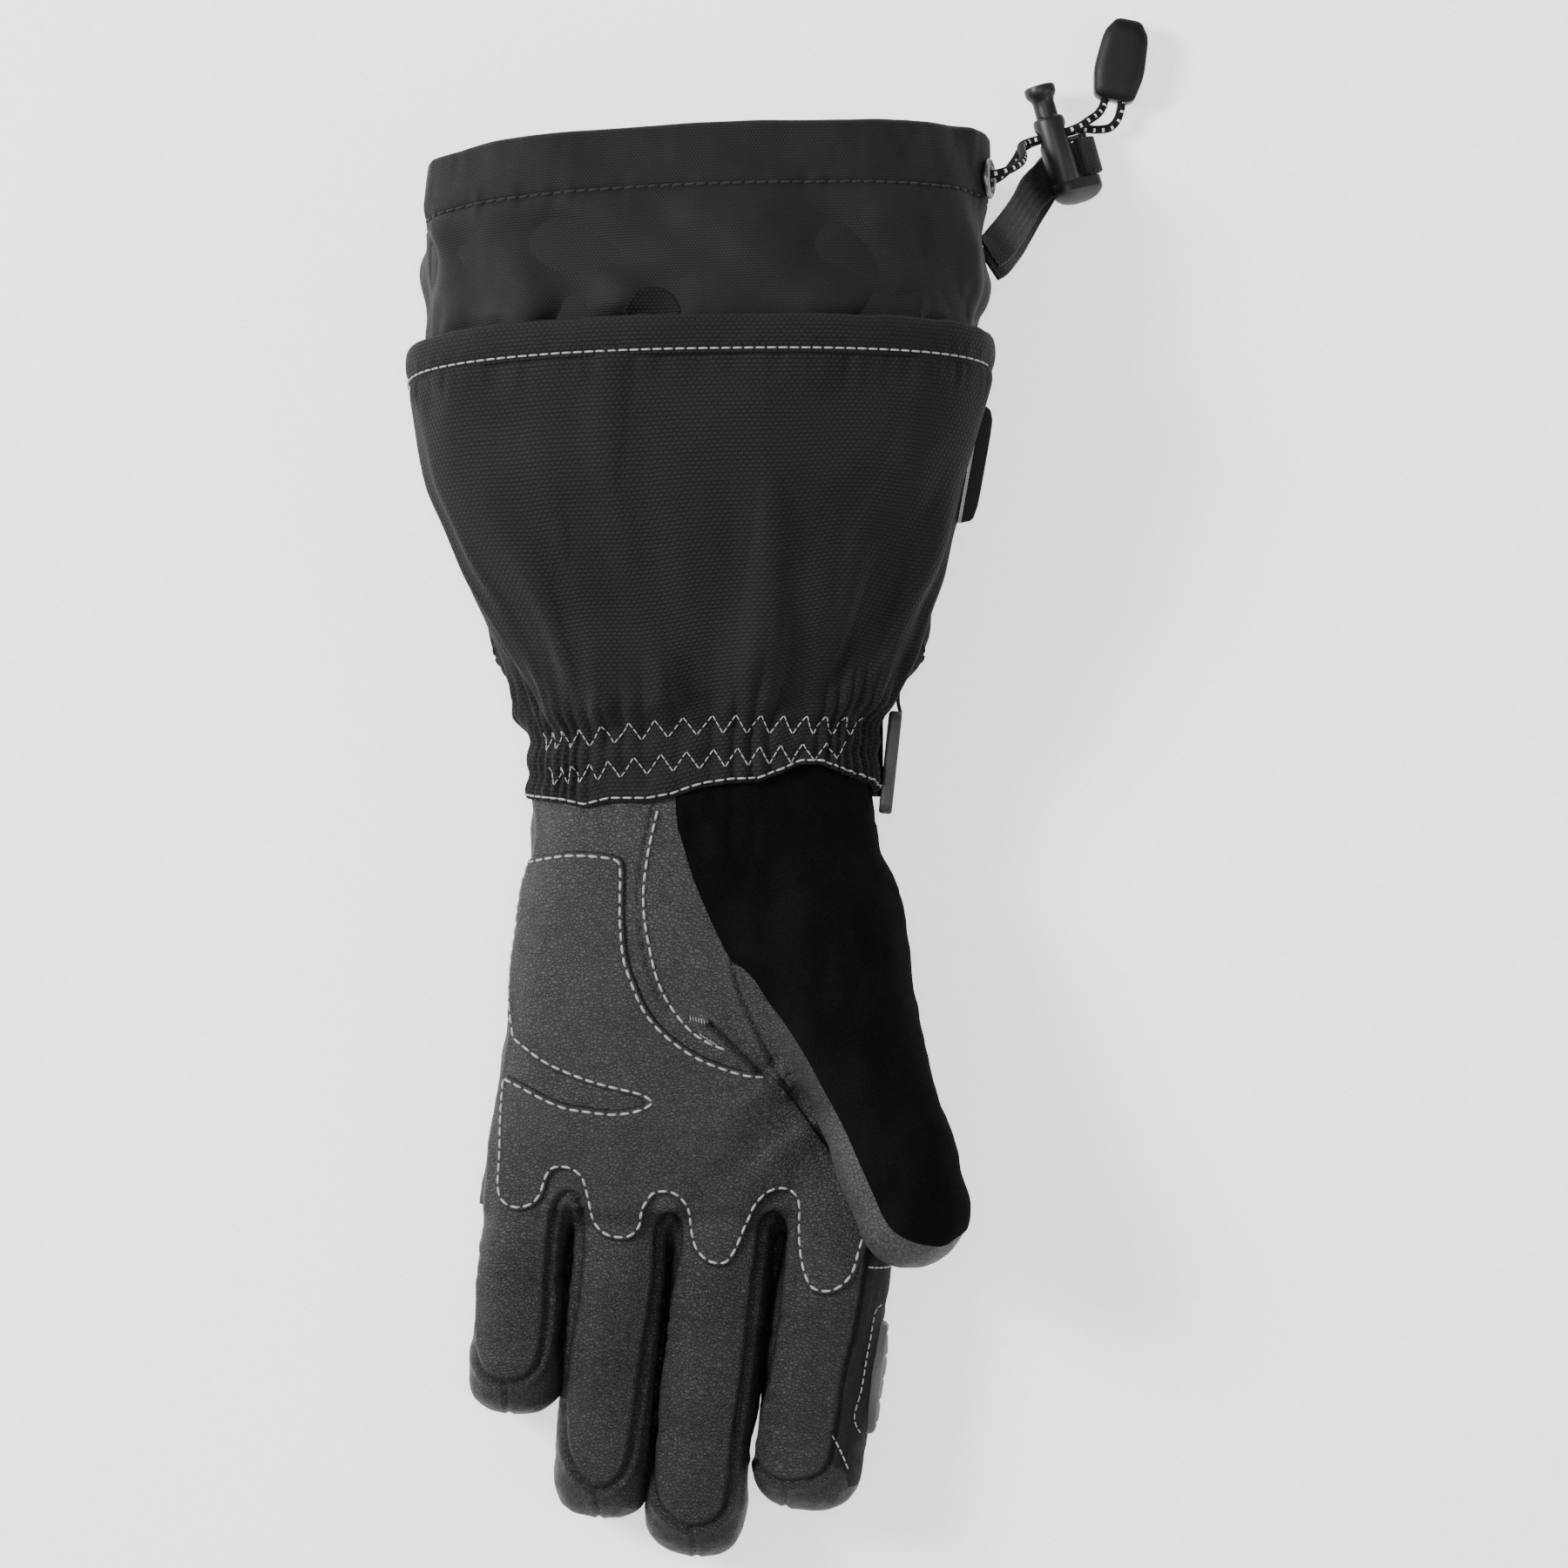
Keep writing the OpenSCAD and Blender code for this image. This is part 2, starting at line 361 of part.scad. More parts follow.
module thumb_base_lining() color([0.12, 0.12, 0.13]) difference() {
  thumb_cone(leather_t + 0.15, 12);
  thumb_cone(leather_t + 0.15 + finger_lining_t, 16);
  loft(concat([[20, -0.3, 46, 25, 22]], HAND, [[-120, -5, 56, 15, 14]]), -0.3, N = 44);
  at_thumb() fold(0, thumb_bend, -1);
}
// Suede over the ball of the thumb and the front of the thumb
THENAR = [[-6.8, 12.2], [-5.4, 0], [-0.5, -14.6], [3.8, -24.4], [7.3, -31.3], [14.3, -37.6], [22.6, -49.4], [26, -54], [60, -54], [60, 12.2]];
module thumb_suede() color([0.02, 0.02, 0.02]) difference() {
  union() {
    difference() {
      thumb_cone(-1.3, 12);
      loft(concat([[20, -0.3, 46, 25, 22]], HAND, [[-120, -5, 56, 15, 14]]), -0.3, N = 44);
    }
    intersection() {
      sleeve_arc(HAND, -1.3, -0.2, 4, 120, N = 24);
      translate([0, 0, 10]) linear_extrude(60) polygon(THENAR);
    }
  }
  thumb_cone(-0.2, 16);
  at_thumb() fold(0, thumb_bend, -1);
  translate([-60, -120, -10]) cube([200, 160, 38]);
}
module thumb_tip_part(d0, d1) at_thumb() difference() {
  union() {
    translate([0, 20, 0]) rotate([90, 0, 0]) cylinder(r = thumb_r - 0.4 - d0, h = 35.5);
    translate([0, -15.5, 0]) sphere(r = thumb_r - 0.4 - d0);
  }
  translate([0, 21, 0]) rotate([90, 0, 0]) cylinder(r = thumb_r - 0.4 - d1, h = 36.5);
  translate([0, -15.5, 0]) sphere(r = thumb_r - 0.4 - d1);
  fold(0, thumb_bend, 1);
}
module thumb_tip() color([0.14, 0.14, 0.145]) thumb_tip_part(0, leather_t);
module thumb_tip_lining() color([0.12, 0.12, 0.13]) thumb_tip_part(leather_t + 0.15, leather_t + 0.15 + finger_lining_t);

gauntlet_shell();
gauntlet_hem();
gauntlet_lining();
snow_skirt();
drawcord_tunnel();
drawcord();
eyelet_palm();
eyelet_back();
cord_strand_palm();
cord_strand_back();
lock_tether();
lock_barrel();
lock_spring();
lock_plunger();
pull_end_body();
pull_end_cap();
side_tab();
wrist_gather();
wrist_elastic();
wrist_lining();
wrist_strap();
strap_ring();
ring_anchor();
palm_panel();
back_panel();
palm_overlay();
hand_lining();
back_pad();
finger_webs();
thumb_base();
thumb_base_lining();
thumb_suede();
root_shell(0);  // little_root
root_shell(1);  // ring_root
root_shell(2);  // middle_root
root_shell(3);  // index_root
middle_shell(0);  // little_middle
tip_shell(0);  // little_tip
middle_shell(1);  // ring_middle
tip_shell(1);  // ring_tip
middle_shell(2);  // middle_middle
tip_shell(2);  // middle_tip
middle_shell(3);  // index_middle
tip_shell(3);  // index_tip
middle_lining(0);  // little_middle_lining
tip_lining(0);  // little_tip_lining
middle_lining(1);  // ring_middle_lining
tip_lining(1);  // ring_tip_lining
middle_lining(2);  // middle_middle_lining
tip_lining(2);  // middle_tip_lining
middle_lining(3);  // index_middle_lining
tip_lining(3);  // index_tip_lining
index_guard();
thumb_tip();
thumb_tip_lining();
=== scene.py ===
import bpy, math
import numpy as np
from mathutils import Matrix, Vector
from mathutils.bvhtree import BVHTree
from mathutils.geometry import delaunay_2d_cdt


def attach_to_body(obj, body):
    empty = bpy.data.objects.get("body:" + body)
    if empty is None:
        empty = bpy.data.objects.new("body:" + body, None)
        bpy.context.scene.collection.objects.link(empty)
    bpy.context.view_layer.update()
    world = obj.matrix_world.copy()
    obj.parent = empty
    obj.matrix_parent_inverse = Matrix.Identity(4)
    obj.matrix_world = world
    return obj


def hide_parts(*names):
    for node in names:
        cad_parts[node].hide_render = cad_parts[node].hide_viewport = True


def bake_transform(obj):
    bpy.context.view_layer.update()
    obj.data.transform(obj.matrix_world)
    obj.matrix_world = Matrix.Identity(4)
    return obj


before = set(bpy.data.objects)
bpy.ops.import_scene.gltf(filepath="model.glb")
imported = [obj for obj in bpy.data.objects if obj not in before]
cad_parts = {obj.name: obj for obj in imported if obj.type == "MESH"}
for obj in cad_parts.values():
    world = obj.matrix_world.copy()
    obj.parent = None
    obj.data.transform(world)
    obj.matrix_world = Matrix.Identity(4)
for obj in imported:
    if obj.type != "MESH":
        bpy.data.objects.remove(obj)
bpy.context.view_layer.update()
MM = 0.001
scene = bpy.context.scene

# ------------------------------------------------------------------ camera, floor, light
cam_data = bpy.data.cameras.new("cam")
cam_data.lens = 110
cam_data.sensor_width = 36
cam_data.clip_end = 10
cam = bpy.data.objects.new("camera", cam_data)
cam.location = (0.0219, 0.015, 0.035 + 1.2925)
scene.collection.objects.link(cam)
scene.camera = cam

world = bpy.data.worlds.new("world")
scene.world = world
world.use_nodes = True
world.node_tree.nodes["Background"].inputs[0].default_value = (1, 1, 1, 1)
world.node_tree.nodes["Background"].inputs[1].default_value = 0.42

def area(name, loc, size, power, target=(0.0, 0.0, 0.03)):
    d = bpy.data.lights.new(name, "AREA")
    d.shape = "DISK"
    d.size = size
    d.energy = power
    o = bpy.data.objects.new(name, d)
    scene.collection.objects.link(o)
    o.location = loc
    o.rotation_euler = (Vector(target) - Vector(loc)).to_track_quat("-Z", "Y").to_euler()
    return o

area("key", (-1.15, 0.45, 0.95), 0.55, 46)
area("fill", (1.2, -0.2, 0.9), 0.8, 9)
area("top", (0.05, 0.1, 1.9), 0.6, 12)

# ------------------------------------------------------------------ small numpy helpers
def hash3(ix, iy, iz, seed):
    h = (ix.astype(np.int64) * 374761393 + iy.astype(np.int64) * 668265263 + iz.astype(np.int64) * 1274126177 + seed * 974711) & 0xFFFFFFFF
    h = ((h ^ (h >> 13)) * 1274126177) & 0xFFFFFFFF
    h = ((h ^ (h >> 16)) * 668265263) & 0xFFFFFFFF
    return ((h ^ (h >> 15)) & 0xFFFFFF) / 8388607.5 - 1.0

def noise(P, seed=0):
    P = np.asarray(P, float)
    I = np.floor(P)
    F = P - I
    F = F * F * F * (F * (F * 6 - 15) + 10)
    I = I.astype(np.int64)
    out = 0
    for dx in (0, 1):
        for dy in (0, 1):
            for dz in (0, 1):
                w = (F[..., 0] if dx else 1 - F[..., 0]) * (F[..., 1] if dy else 1 - F[..., 1]) * (F[..., 2] if dz else 1 - F[..., 2])
                out = out + w * hash3(I[..., 0] + dx, I[..., 1] + dy, I[..., 2] + dz, seed)
    return out

def fbm(P, seed=0, n=3):
    s, a, t = 0, 1.0, 0
    for i in range(n):
        s = s + a * noise(np.asarray(P) * 2 ** i, seed + i)
        t += a
        a *= 0.5
    return s / t

def sstep(a, b, x):
    t = np.clip((x - a) / (b - a), 0, 1)
    return t * t * (3 - 2 * t)

def smooth_line(pts, closed=False, step=1.0, corners=()):
    """Catmull-Rom through points, then even steps."""
    p = np.array(pts, float)
    n = len(p)
    out = []
    rng = range(n) if closed else range(n - 1)
    for i in rng:
        b, c = p[i], p[(i + 1) % n]
        a = p[(i - 1) % n] if closed else p[max(i - 1, 0)]
        d = p[(i + 2) % n] if closed else p[min(i + 2, n - 1)]
        if i in corners: a = b
        if (i + 1) % n in corners: d = c
        for t in np.linspace(0, 1, 8, endpoint=False):
            out.append(0.5 * ((2 * b) + (c - a) * t + (2 * a - 5 * b + 4 * c - d) * t * t + (3 * b - a - 3 * c + d) * t ** 3))
    if not closed:
        out.append(p[-1])
    else:
        out.append(out[0])
    out = np.array(out)
    seg = np.linalg.norm(np.diff(out, axis=0), axis=1)
    L = np.concatenate([[0], np.cumsum(seg)])
    m = max(int(round(L[-1] / step)), 2)
    t = np.linspace(0, L[-1], m + 1)
    r = np.stack([np.interp(t, L, out[:, k]) for k in range(out.shape[1])], 1)
    return r[:-1] if closed else r

def seg_dist(P, A, closed=False):
    """Distance of 2D points to a polyline, and the nearest length along it."""
    P = np.asarray(P, float)
    a = A if closed else A[:-1]
    b = np.roll(A, -1, 0) if closed else A[1:]
    d = b - a
    L2 = np.maximum((d ** 2).sum(1), 1e-12)
    best = np.full(len(P), 1e9)
    along = np.zeros(len(P))
    cum = np.concatenate([[0], np.cumsum(np.sqrt(L2))])
    for k in range(0, len(P), 20000):
        Q = P[k:k + 20000]
        t = np.clip(((Q[:, None, :] - a[None]) * d[None]).sum(2) / L2[None], 0, 1)
        D = np.linalg.norm(Q[:, None, :] - (a[None] + t[..., None] * d[None]), axis=2)
        j = D.argmin(1)
        best[k:k + 20000] = D[np.arange(len(Q)), j]
        along[k:k + 20000] = cum[j] + t[np.arange(len(Q)), j] * np.sqrt(L2)[j]
    return best, along

def inside(P, A):
    x, y = P[:, 0], P[:, 1]
    r = np.zeros(len(P), bool)
    n = len(A)
    for i in range(n):
        x1, y1 = A[i]
        x2, y2 = A[(i + 1) % n]
        if y1 == y2: continue
        c = ((y1 > y) != (y2 > y)) & (x < (x2 - x1) * (y - y1) / (y2 - y1) + x1)
        r ^= c
    return r

def vertex_normals(V, F):
    F = np.asarray(F)
    N = np.zeros_like(V)
    if F.shape[1] == 4:
        n = np.cross(V[F[:, 2]] - V[F[:, 0]], V[F[:, 3]] - V[F[:, 1]])
    else:
        n = np.cross(V[F[:, 1]] - V[F[:, 0]], V[F[:, 2]] - V[F[:, 0]])
    for k in range(F.shape[1]):
        np.add.at(N, F[:, k], n)
    return N / np.maximum(np.linalg.norm(N, axis=1), 1e-12)[:, None]

def make(name, V, F, mat, uv=None, normals=None, attrs=None, solid=True):
    """A mesh object from millimetres; V also goes into the attribute rest."""
    me = bpy.data.meshes.new(name)
    F = [list(map(int, f)) for f in F]
    me.from_pydata((np.asarray(V, float) * MM).tolist(), [], F)
    me.polygons.foreach_set("use_smooth", [True] * len(me.polygons))
    a = me.attributes.new("rest", "FLOAT_VECTOR", "POINT")
    a.data.foreach_set("vector", np.asarray(V, np.float32).ravel())
    for k, v in (attrs or {}).items():
        a = me.attributes.new(k, "FLOAT", "POINT")
        a.data.foreach_set("value", np.asarray(v, np.float32))
    if uv is not None:
        l = me.uv_layers.new(name="UVMap")
        idx = np.zeros(len(me.loops), np.int64)
        me.loops.foreach_get("vertex_index", idx)
        if isinstance(uv, tuple):  # per-face-corner
            l.data.foreach_set("uv", np.asarray(uv[0], np.float32).ravel())
        else:
            l.data.foreach_set("uv", np.asarray(uv, np.float32)[idx].ravel())
    if normals is not None:
        me.normals_split_custom_set_from_vertices(np.asarray(normals, float).tolist())
    o = bpy.data.objects.new(name, me)
    scene.collection.objects.link(o)
    me.materials.append(mat)
    return o

def split(V, F, N, labels, attrs=None, uv=None):
    """Yields (label, V, F, N, attrs, uv) for the faces with each label."""
    F = np.asarray(F)
    for lab in sorted(set(labels.tolist())):
        f = F[labels == lab]
        idx, inv = np.unique(f, return_inverse=True)
        yield lab, V[idx], inv.reshape(f.shape), N[idx], {k: v[idx] for k, v in (attrs or {}).items()}, (uv[idx] if uv is not None else None)

def grid_faces(nu, nv, wrap=True):
    """nv rows of nu points."""
    f = []
    m = nu if wrap else nu - 1
    i = np.arange(nv - 1)[:, None]
    j = np.arange(m)[None, :]
    k = (j + 1) % nu
    q = np.stack([i * nu + j + 0 * k, i * nu + k, (i + 1) * nu + k, (i + 1) * nu + j + 0 * k], -1).reshape(-1, 4)
    return q

def join_parts(parts):
    V, F, o = [], [], 0
    for v, f in parts:
        V.append(v)
        F += [[int(a) + o for a in q] for q in f]
        o += len(v)
    return np.concatenate(V), F

def tube_mesh(P, r, n=10, up=(0, 0, 1), cap=True, prof=None):
    """Round tube along P with radius r (a number or one per point). Returns V, F."""
    P = np.asarray(P, float)
    T = np.gradient(P, axis=0)
    T /= np.linalg.norm(T, axis=1)[:, None]
    u = np.cross(T[0], up)
    if np.linalg.norm(u) < 1e-3: u = np.cross(T[0], (1, 0, 0.1))
    u /= np.linalg.norm(u)
    U = [u]
    for k in range(1, len(P)):
        v = U[-1] - T[k] * (U[-1] @ T[k])
        U.append(v / np.linalg.norm(v))
    U = np.array(U)
    W = np.cross(T, U)
    r = np.broadcast_to(r, (len(P),))
    a = np.linspace(0, 2 * np.pi, n, endpoint=False)
    V = P[:, None] + r[:, None, None] * (np.cos(a)[None, :, None] * U[:, None] + np.sin(a)[None, :, None] * W[:, None])
    V = V.reshape(-1, 3)
    F = [list(q) for q in grid_faces(n, len(P))]
    if cap:
        F.append(list(range(n))[::-1])
        F.append([(len(P) - 1) * n + k for k in range(n)])
    return V, F
# ------------------------------------------------------------------ shape of the hand
# y, centre x, half width, centre z, half height
HAND = np.array([[26, 0.0, 43.0, 26, 19.4], [19, -0.2, 44.2, 25.5, 20.6], [13.5, -0.4, 45.4, 25, 21.5], [8, -0.3, 46.2, 25, 22], [0, -0.4, 46.8, 24.6, 21.8], [-10, -0.6, 47.4, 24, 21.2], [-22, -1.6, 49.4, 23.2, 20.6],
  [-40, -2, 50.6, 22, 19], [-56, -2.8, 52.2, 20.6, 17.6], [-70, -3.6, 53.2, 19.2, 16.3], [-82, -4.4, 54.0, 17.4, 15.0], [-92, -4.9, 54.4, 15.6, 14.0], [-100, -5.0, 54.8, 14.6, 12.4], [-108, -5.0, 55.2, 14.4, 11.0]])
# radius, x where y is -90, lean in degrees, then along the finger: middle joint, end joint, tip
FING = {"little": (12.8, -48.3, 3.5, 27, 48, 67.9), "ring": (12.8, -21.2, 4.6, 40, 67.5, 96.3),
        "middle": (13.4, 7.9, 6.2, 45, 75, 106.4), "index": (15.0, 39.3, 7.6, 44, 73, 94)}
WIDE = {"little": 1.0, "ring": 1.05, "middle": 1.06, "index": 1.02}
CUT = {"little": 38.2, "ring": 55.3, "middle": 61.5, "index": 60.2}
TB, TH = np.array([31.0, -26, 29]), np.array([51.2, -85, 41.5])
TD = np.array([0.328, -0.944, 0.0366]); TD /= np.linalg.norm(TD)
TT = TH + TD * 15.5

def finger_local(P, k):
    r, x0, lean, *_ = FING[k]
    a = math.radians(lean)
    d = np.array([-math.sin(a), -math.cos(a), 0])
    u = np.array([math.cos(a), -math.sin(a), 0])
    q = P - np.array([x0, -90, r])
    return q @ u, q @ d, q[..., 2]  # across, along, up

def f_finger(P, k):
    r, x0, lean, s1, s2, tip = FING[k]
    u, s, w = finger_local(P, k)
    w_ = WIDE[k]
    if k == "little": u = np.where(u < 0, u * np.interp(s, [-10, 0, 20, 40], [1.13, 1.13, 1.11, 1.0]), u)
    else: u = u * (1 - 0.03 * sstep(2, -6, w) * sstep(10, 30, s))
    if k == "ring": u = np.where(u < 0, u * (1 - 0.06 * sstep(4, -2, w) * sstep(6, 12, s) * sstep(38, 28, s)), u)
    if k == "middle": u = np.where(u > 0, u * (1 + 0.042 * sstep(46, 56, s) * sstep(92, 84, s)), u)
    rr = r * np.interp(s, [-16, -6, 5, s1 - 6, s1, s1 + 8, s2, tip - r * 0.7, tip], [0.62, 0.84, 0.955, w_, w_ - 0.015, w_, 0.5 * w_ + 0.485, 1.0, 1.0])
    sc = tip - r * 0.86
    e = np.maximum(s - sc, 0) / 0.86
    lo = np.maximum(-6 - s, 0)
    n = 2.5
    w2 = np.where(w > 0, w * 1.03, w / 1.0)
    return (np.abs(u) ** n + np.abs(w2) ** n + e ** n + lo ** n + 1e-9) ** (1 / n) - rr

WEBS = [("little", "ring", -113), ("ring", "middle", -117.5), ("middle", "index", -123)]
def f_web(P):
    """The gussets' floors between the roots of the fingers."""
    best = None
    for a, b, ye in WEBS:
        y0, y1 = -95.0, ye + 1.6
        yc, hy = (y0 + y1) / 2, (y0 - y1) / 2
        mid = lambda y: (FING[a][1] + FING[b][1]) / 2 + (y + 90) * (math.tan(math.radians(FING[a][2])) + math.tan(math.radians(FING[b][2]))) / 2
        px = P[..., 0] - mid(P[..., 1]) - 0.6
        q = np.stack([np.abs(px) - 1.4, np.abs(P[..., 1] - yc) - hy, np.abs(P[..., 2] - 8.5) - 4.0], -1)
        d = np.linalg.norm(np.maximum(q, 0), axis=-1) + np.minimum(q.max(-1), 0) - 1.6
        best = d if best is None else np.minimum(best, d)
    return best

def f_palm(P):
    y = P[..., 1]
    Y = HAND[::-1, 0]
    cx, a, cz, b = (np.interp(y, Y, HAND[::-1, k]) for k in (1, 2, 3, 4))
    n = 2.35
    # the palm's section is a superellipse that changes along y; the table makes it full at the heel
    q = (np.abs((P[..., 0] - cx) / a) ** n + np.abs((P[..., 2] - cz) / b) ** n + 1e-9) ** (1 / n)
    d = (q - 1) * np.minimum(a, b)
    e = np.maximum(np.maximum(-100 - y, y - 26), 0)
    return np.sqrt(np.maximum(d, 0) ** 2 + e ** 2) + np.minimum(d, 0)

def f_thumb(P):
    v = TH - TB
    t = np.clip(((P - TB) @ v) / (v @ v), 0, 1)
    d1 = np.linalg.norm(P - (TB + t[..., None] * v), axis=-1) - (20.5 + (15.2 - 20.5) * sstep(0, 1, t) * 0.6 + (15.2 - 20.5) * t * 0.4)
    s = np.clip((P - TH) @ TD, 0, 15.5)
    q = P - TH - s[..., None] * TD
    al = np.maximum(((P - TT) @ TD), 0)
    perp = q - al[..., None] * TD * 0
    d2 = np.linalg.norm(q, axis=-1) - 15.2
    return smin(d1, d2, 4)

def smin(a, b, k):
    h = np.clip(0.5 + 0.5 * (b - a) / k, 0, 1)
    return b + (a - b) * h - k * h * (1 - h)

def f_body(P):
    d = f_palm(P)
    fs = None
    for k in FING:
        g = f_finger(P, k)
        fs = g if fs is None else smin(fs, g, 0.5)
    return smin(smin(d, fs, 5.0), f_web(P), 1.0)

def f_all(P):
    d = f_body(P)
    t = f_thumb(P)
    k = np.interp(P[..., 1], [-78, -60, -20, 10], [0.2, 6, 12, 10])
    return smin(d, t, k)

def surface_nets(f, lo, hi, h):
    ax = [np.arange(lo[i], hi[i] + h, h) for i in range(3)]
    nx, ny, nz = map(len, ax)
    V = np.empty((nx, ny, nz), np.float32)
    YZ = np.stack(np.meshgrid(ax[1], ax[2], indexing="ij"), -1)
    for i in range(0, nx, 24):
        X = np.broadcast_to(ax[0][i:i + 24, None, None, None], (len(ax[0][i:i + 24]), ny, nz, 1))
        V[i:i + 24] = f(np.concatenate([X, np.broadcast_to(YZ, X.shape[:3] + (2,))], -1))
    S = V < 0
    cs = (nx - 1, ny - 1, nz - 1)
    acc = np.zeros(cs + (3,), np.float32)
    cnt = np.zeros(cs, np.float32)
    for d in range(3):
        a = [slice(None)] * 3; b = [slice(None)] * 3
        a[d] = slice(0, -1); b[d] = slice(1, None)
        v0, v1 = V[tuple(a)], V[tuple(b)]
        m = (v0 < 0) != (v1 < 0)
        t = np.where(m, v0 / np.where(m, v0 - v1, 1), 0)
        o = [x for x in range(3) if x != d]
        for p in (0, 1):
            for q in (0, 1):
                s = [slice(None)] * 3
                s[o[0]] = slice(p, p + cs[o[0]])
                s[o[1]] = slice(q, q + cs[o[1]])
                mm, tt = m[tuple(s)], t[tuple(s)]
                cnt += mm
                acc[..., d] += tt * mm
                acc[..., o[0]] += p * mm
                acc[..., o[1]] += q * mm
    act = cnt > 0
    idx = -np.ones(cs, np.int64)
    idx[act] = np.arange(act.sum())
    ijk = np.argwhere(act)
    pts = (ijk + acc[act] / cnt[act][:, None]) * h + np.array([a[0] for a in ax])
    F = []
    for d in range(3):
        o = [x for x in range(3) if x != d]
        a = [slice(1, -1)] * 3; b = [slice(1, -1)] * 3
        a[d] = slice(0, -1); b[d] = slice(1, None)
        s0, s1 = S[tuple(a)], S[tuple(b)]
        m = s0 != s1
        w = np.argwhere(m)
        w[:, o[0]] += 1; w[:, o[1]] += 1
        flip = s0[m]
        def cell(p, q):
            c = w.copy(); c[:, o[0]] -= p; c[:, o[1]] -= q
            return idx[c[:, 0], c[:, 1], c[:, 2]]
        q = np.stack([cell(1, 1), cell(0, 1), cell(0, 0), cell(1, 0)], 1)
        if d == 1: flip = ~flip
        q[~flip] = q[~flip][:, ::-1]
        F.append(q)
    return pts.astype(float), np.concatenate(F)

def grad(f, P, e=0.05):
    g = np.empty_like(P)
    for k in range(3):
        o = np.zeros(3); o[k] = e
        g[:, k] = (f(P + o) - f(P - o)) / (2 * e)
    return g

def project(f, P, it=3):
    for _ in range(it):
        v = f(P)
        g = grad(f, P)
        P = P - (v / np.maximum((g ** 2).sum(1), 1e-6))[:, None] * g
    g = grad(f, P)
    return P, g / np.maximum(np.linalg.norm(g, axis=1), 1e-9)[:, None]

H = 0.8
HV, HF = surface_nets(f_all, (-70, -201, -4), (76, 30, 62), H)
HV, HN = project(f_all, HV)
# drop the flat end inside the wrist
keep = (HV[HF][:, :, 1] < 24.5).all(1)
HF = HF[keep]
PV, PF = surface_nets(f_body, (-70, -201, -4), (62, 30, 62), 1.6)
PV, PN = project(f_body, PV)
print("hand", len(HV), len(HF), "palm", len(PV))

# silhouette of the whole hand, for panels that go round its edge
Yb = np.arange(-200, 24.5, 1.0)
XR = np.array([HV[np.abs(HV[:, 1] - y) < 1.2][:, 0].max() if (np.abs(HV[:, 1] - y) < 1.2).any() else 0 for y in Yb])
XL = np.array([HV[np.abs(HV[:, 1] - y) < 1.2][:, 0].min() if (np.abs(HV[:, 1] - y) < 1.2).any() else 0 for y in Yb])

# ------------------------------------------------------------------ seams on the hand, seen from the palm side (mm)
LITTLE = [(-59.2, -80), (-60.4, -92), (-61.3, -101.5), (-63, -123.8), (-63.4, -135.1), (-62, -141.2), (-59.2, -145.7), (-54.8, -147.6), (-49.3, -146.9), (-45.6, -143.3), (-44.2, -138.9), (-43, -130), (-42.3, -116.3), (-41.4, -105.5), (-39.9, -98.6)]
RING = [(-36.7, -95.9), (-33.7, -98), (-32.8, -103.5), (-34.1, -123.8), (-36, -135.8), (-37.8, -150.9), (-38.1, -158.4), (-36.7, -167.3), (-33.6, -173.4), (-29.1, -176.5), (-24.7, -175.3), (-21.4, -171.1), (-19.5, -163.6), (-17.9, -152.5), (-16, -138.9), (-14.1, -126.9), (-13, -113), (-12.2, -105)]
MIDDLE = [(-9.4, -102), (-6.4, -105), (-6.6, -112), (-8.2, -120), (-10.1, -131.4), (-12, -146.4), (-13.2, -161.4), (-13.4, -172.7), (-12, -180.2), (-8.2, -184.7), (-3.1, -186.8), (2.3, -185.6), (5.6, -181.7), (7.3, -172.7), (8.7, -159.8), (11.3, -142.6), (12.7, -127.6), (14.6, -114.3), (15.6, -105.2)]
INDEX = [(18.9, -101.7), (22, -105), (22.2, -110), (20.9, -121), (20.2, -131.4), (18.6, -140.5), (16.4, -150.9), (14.6, -161.4), (13.6, -167.3), (14.6, -169.9), (17.4, -172.7), (23, -173.9), (29.8, -173), (33.6, -169.9), (35, -165.2), (36, -159.8), (38.1, -146.4), (41.1, -133), (43.2, -121), (44.9, -109), (46.6, -98), (48, -86)]
PALM_LEFT = [(-46.2, 13), (-46.4, 0), (-49.6, -16), (-52, -34), (-54.2, -54), (-57.2, -70)]
FRONT = smooth_line(PALM_LEFT + LITTLE + RING + MIDDLE + INDEX, step=0.8)
WELT = [(-13.2, 9.4), (-15, 1.6), (-16.4, -5.6), (-17.3, -13.6), (-17.1, -21), (-15.9, -28.6), (-14, -36.8), (-11.2, -43.4)]
FOLD = [(1.9, -49.3), (6.3, -53.3), (12.7, -59.7), (17.2, -64.2), (21.1, -67.7)]
EDGE = [(8.2, -32.7), (9.4, -39), (12.7, -47), (16.2, -54.3), (19.7, -61.3), (23.5, -67.7)]
CAPS = [((-54, -147.8), (-53.3, -158)), ((-29.3, -176.7), (-28.6, -186.5)), ((-3.4, -187), (-1.9, -196)), ((22, -174.2), (22.6, -183.6))]

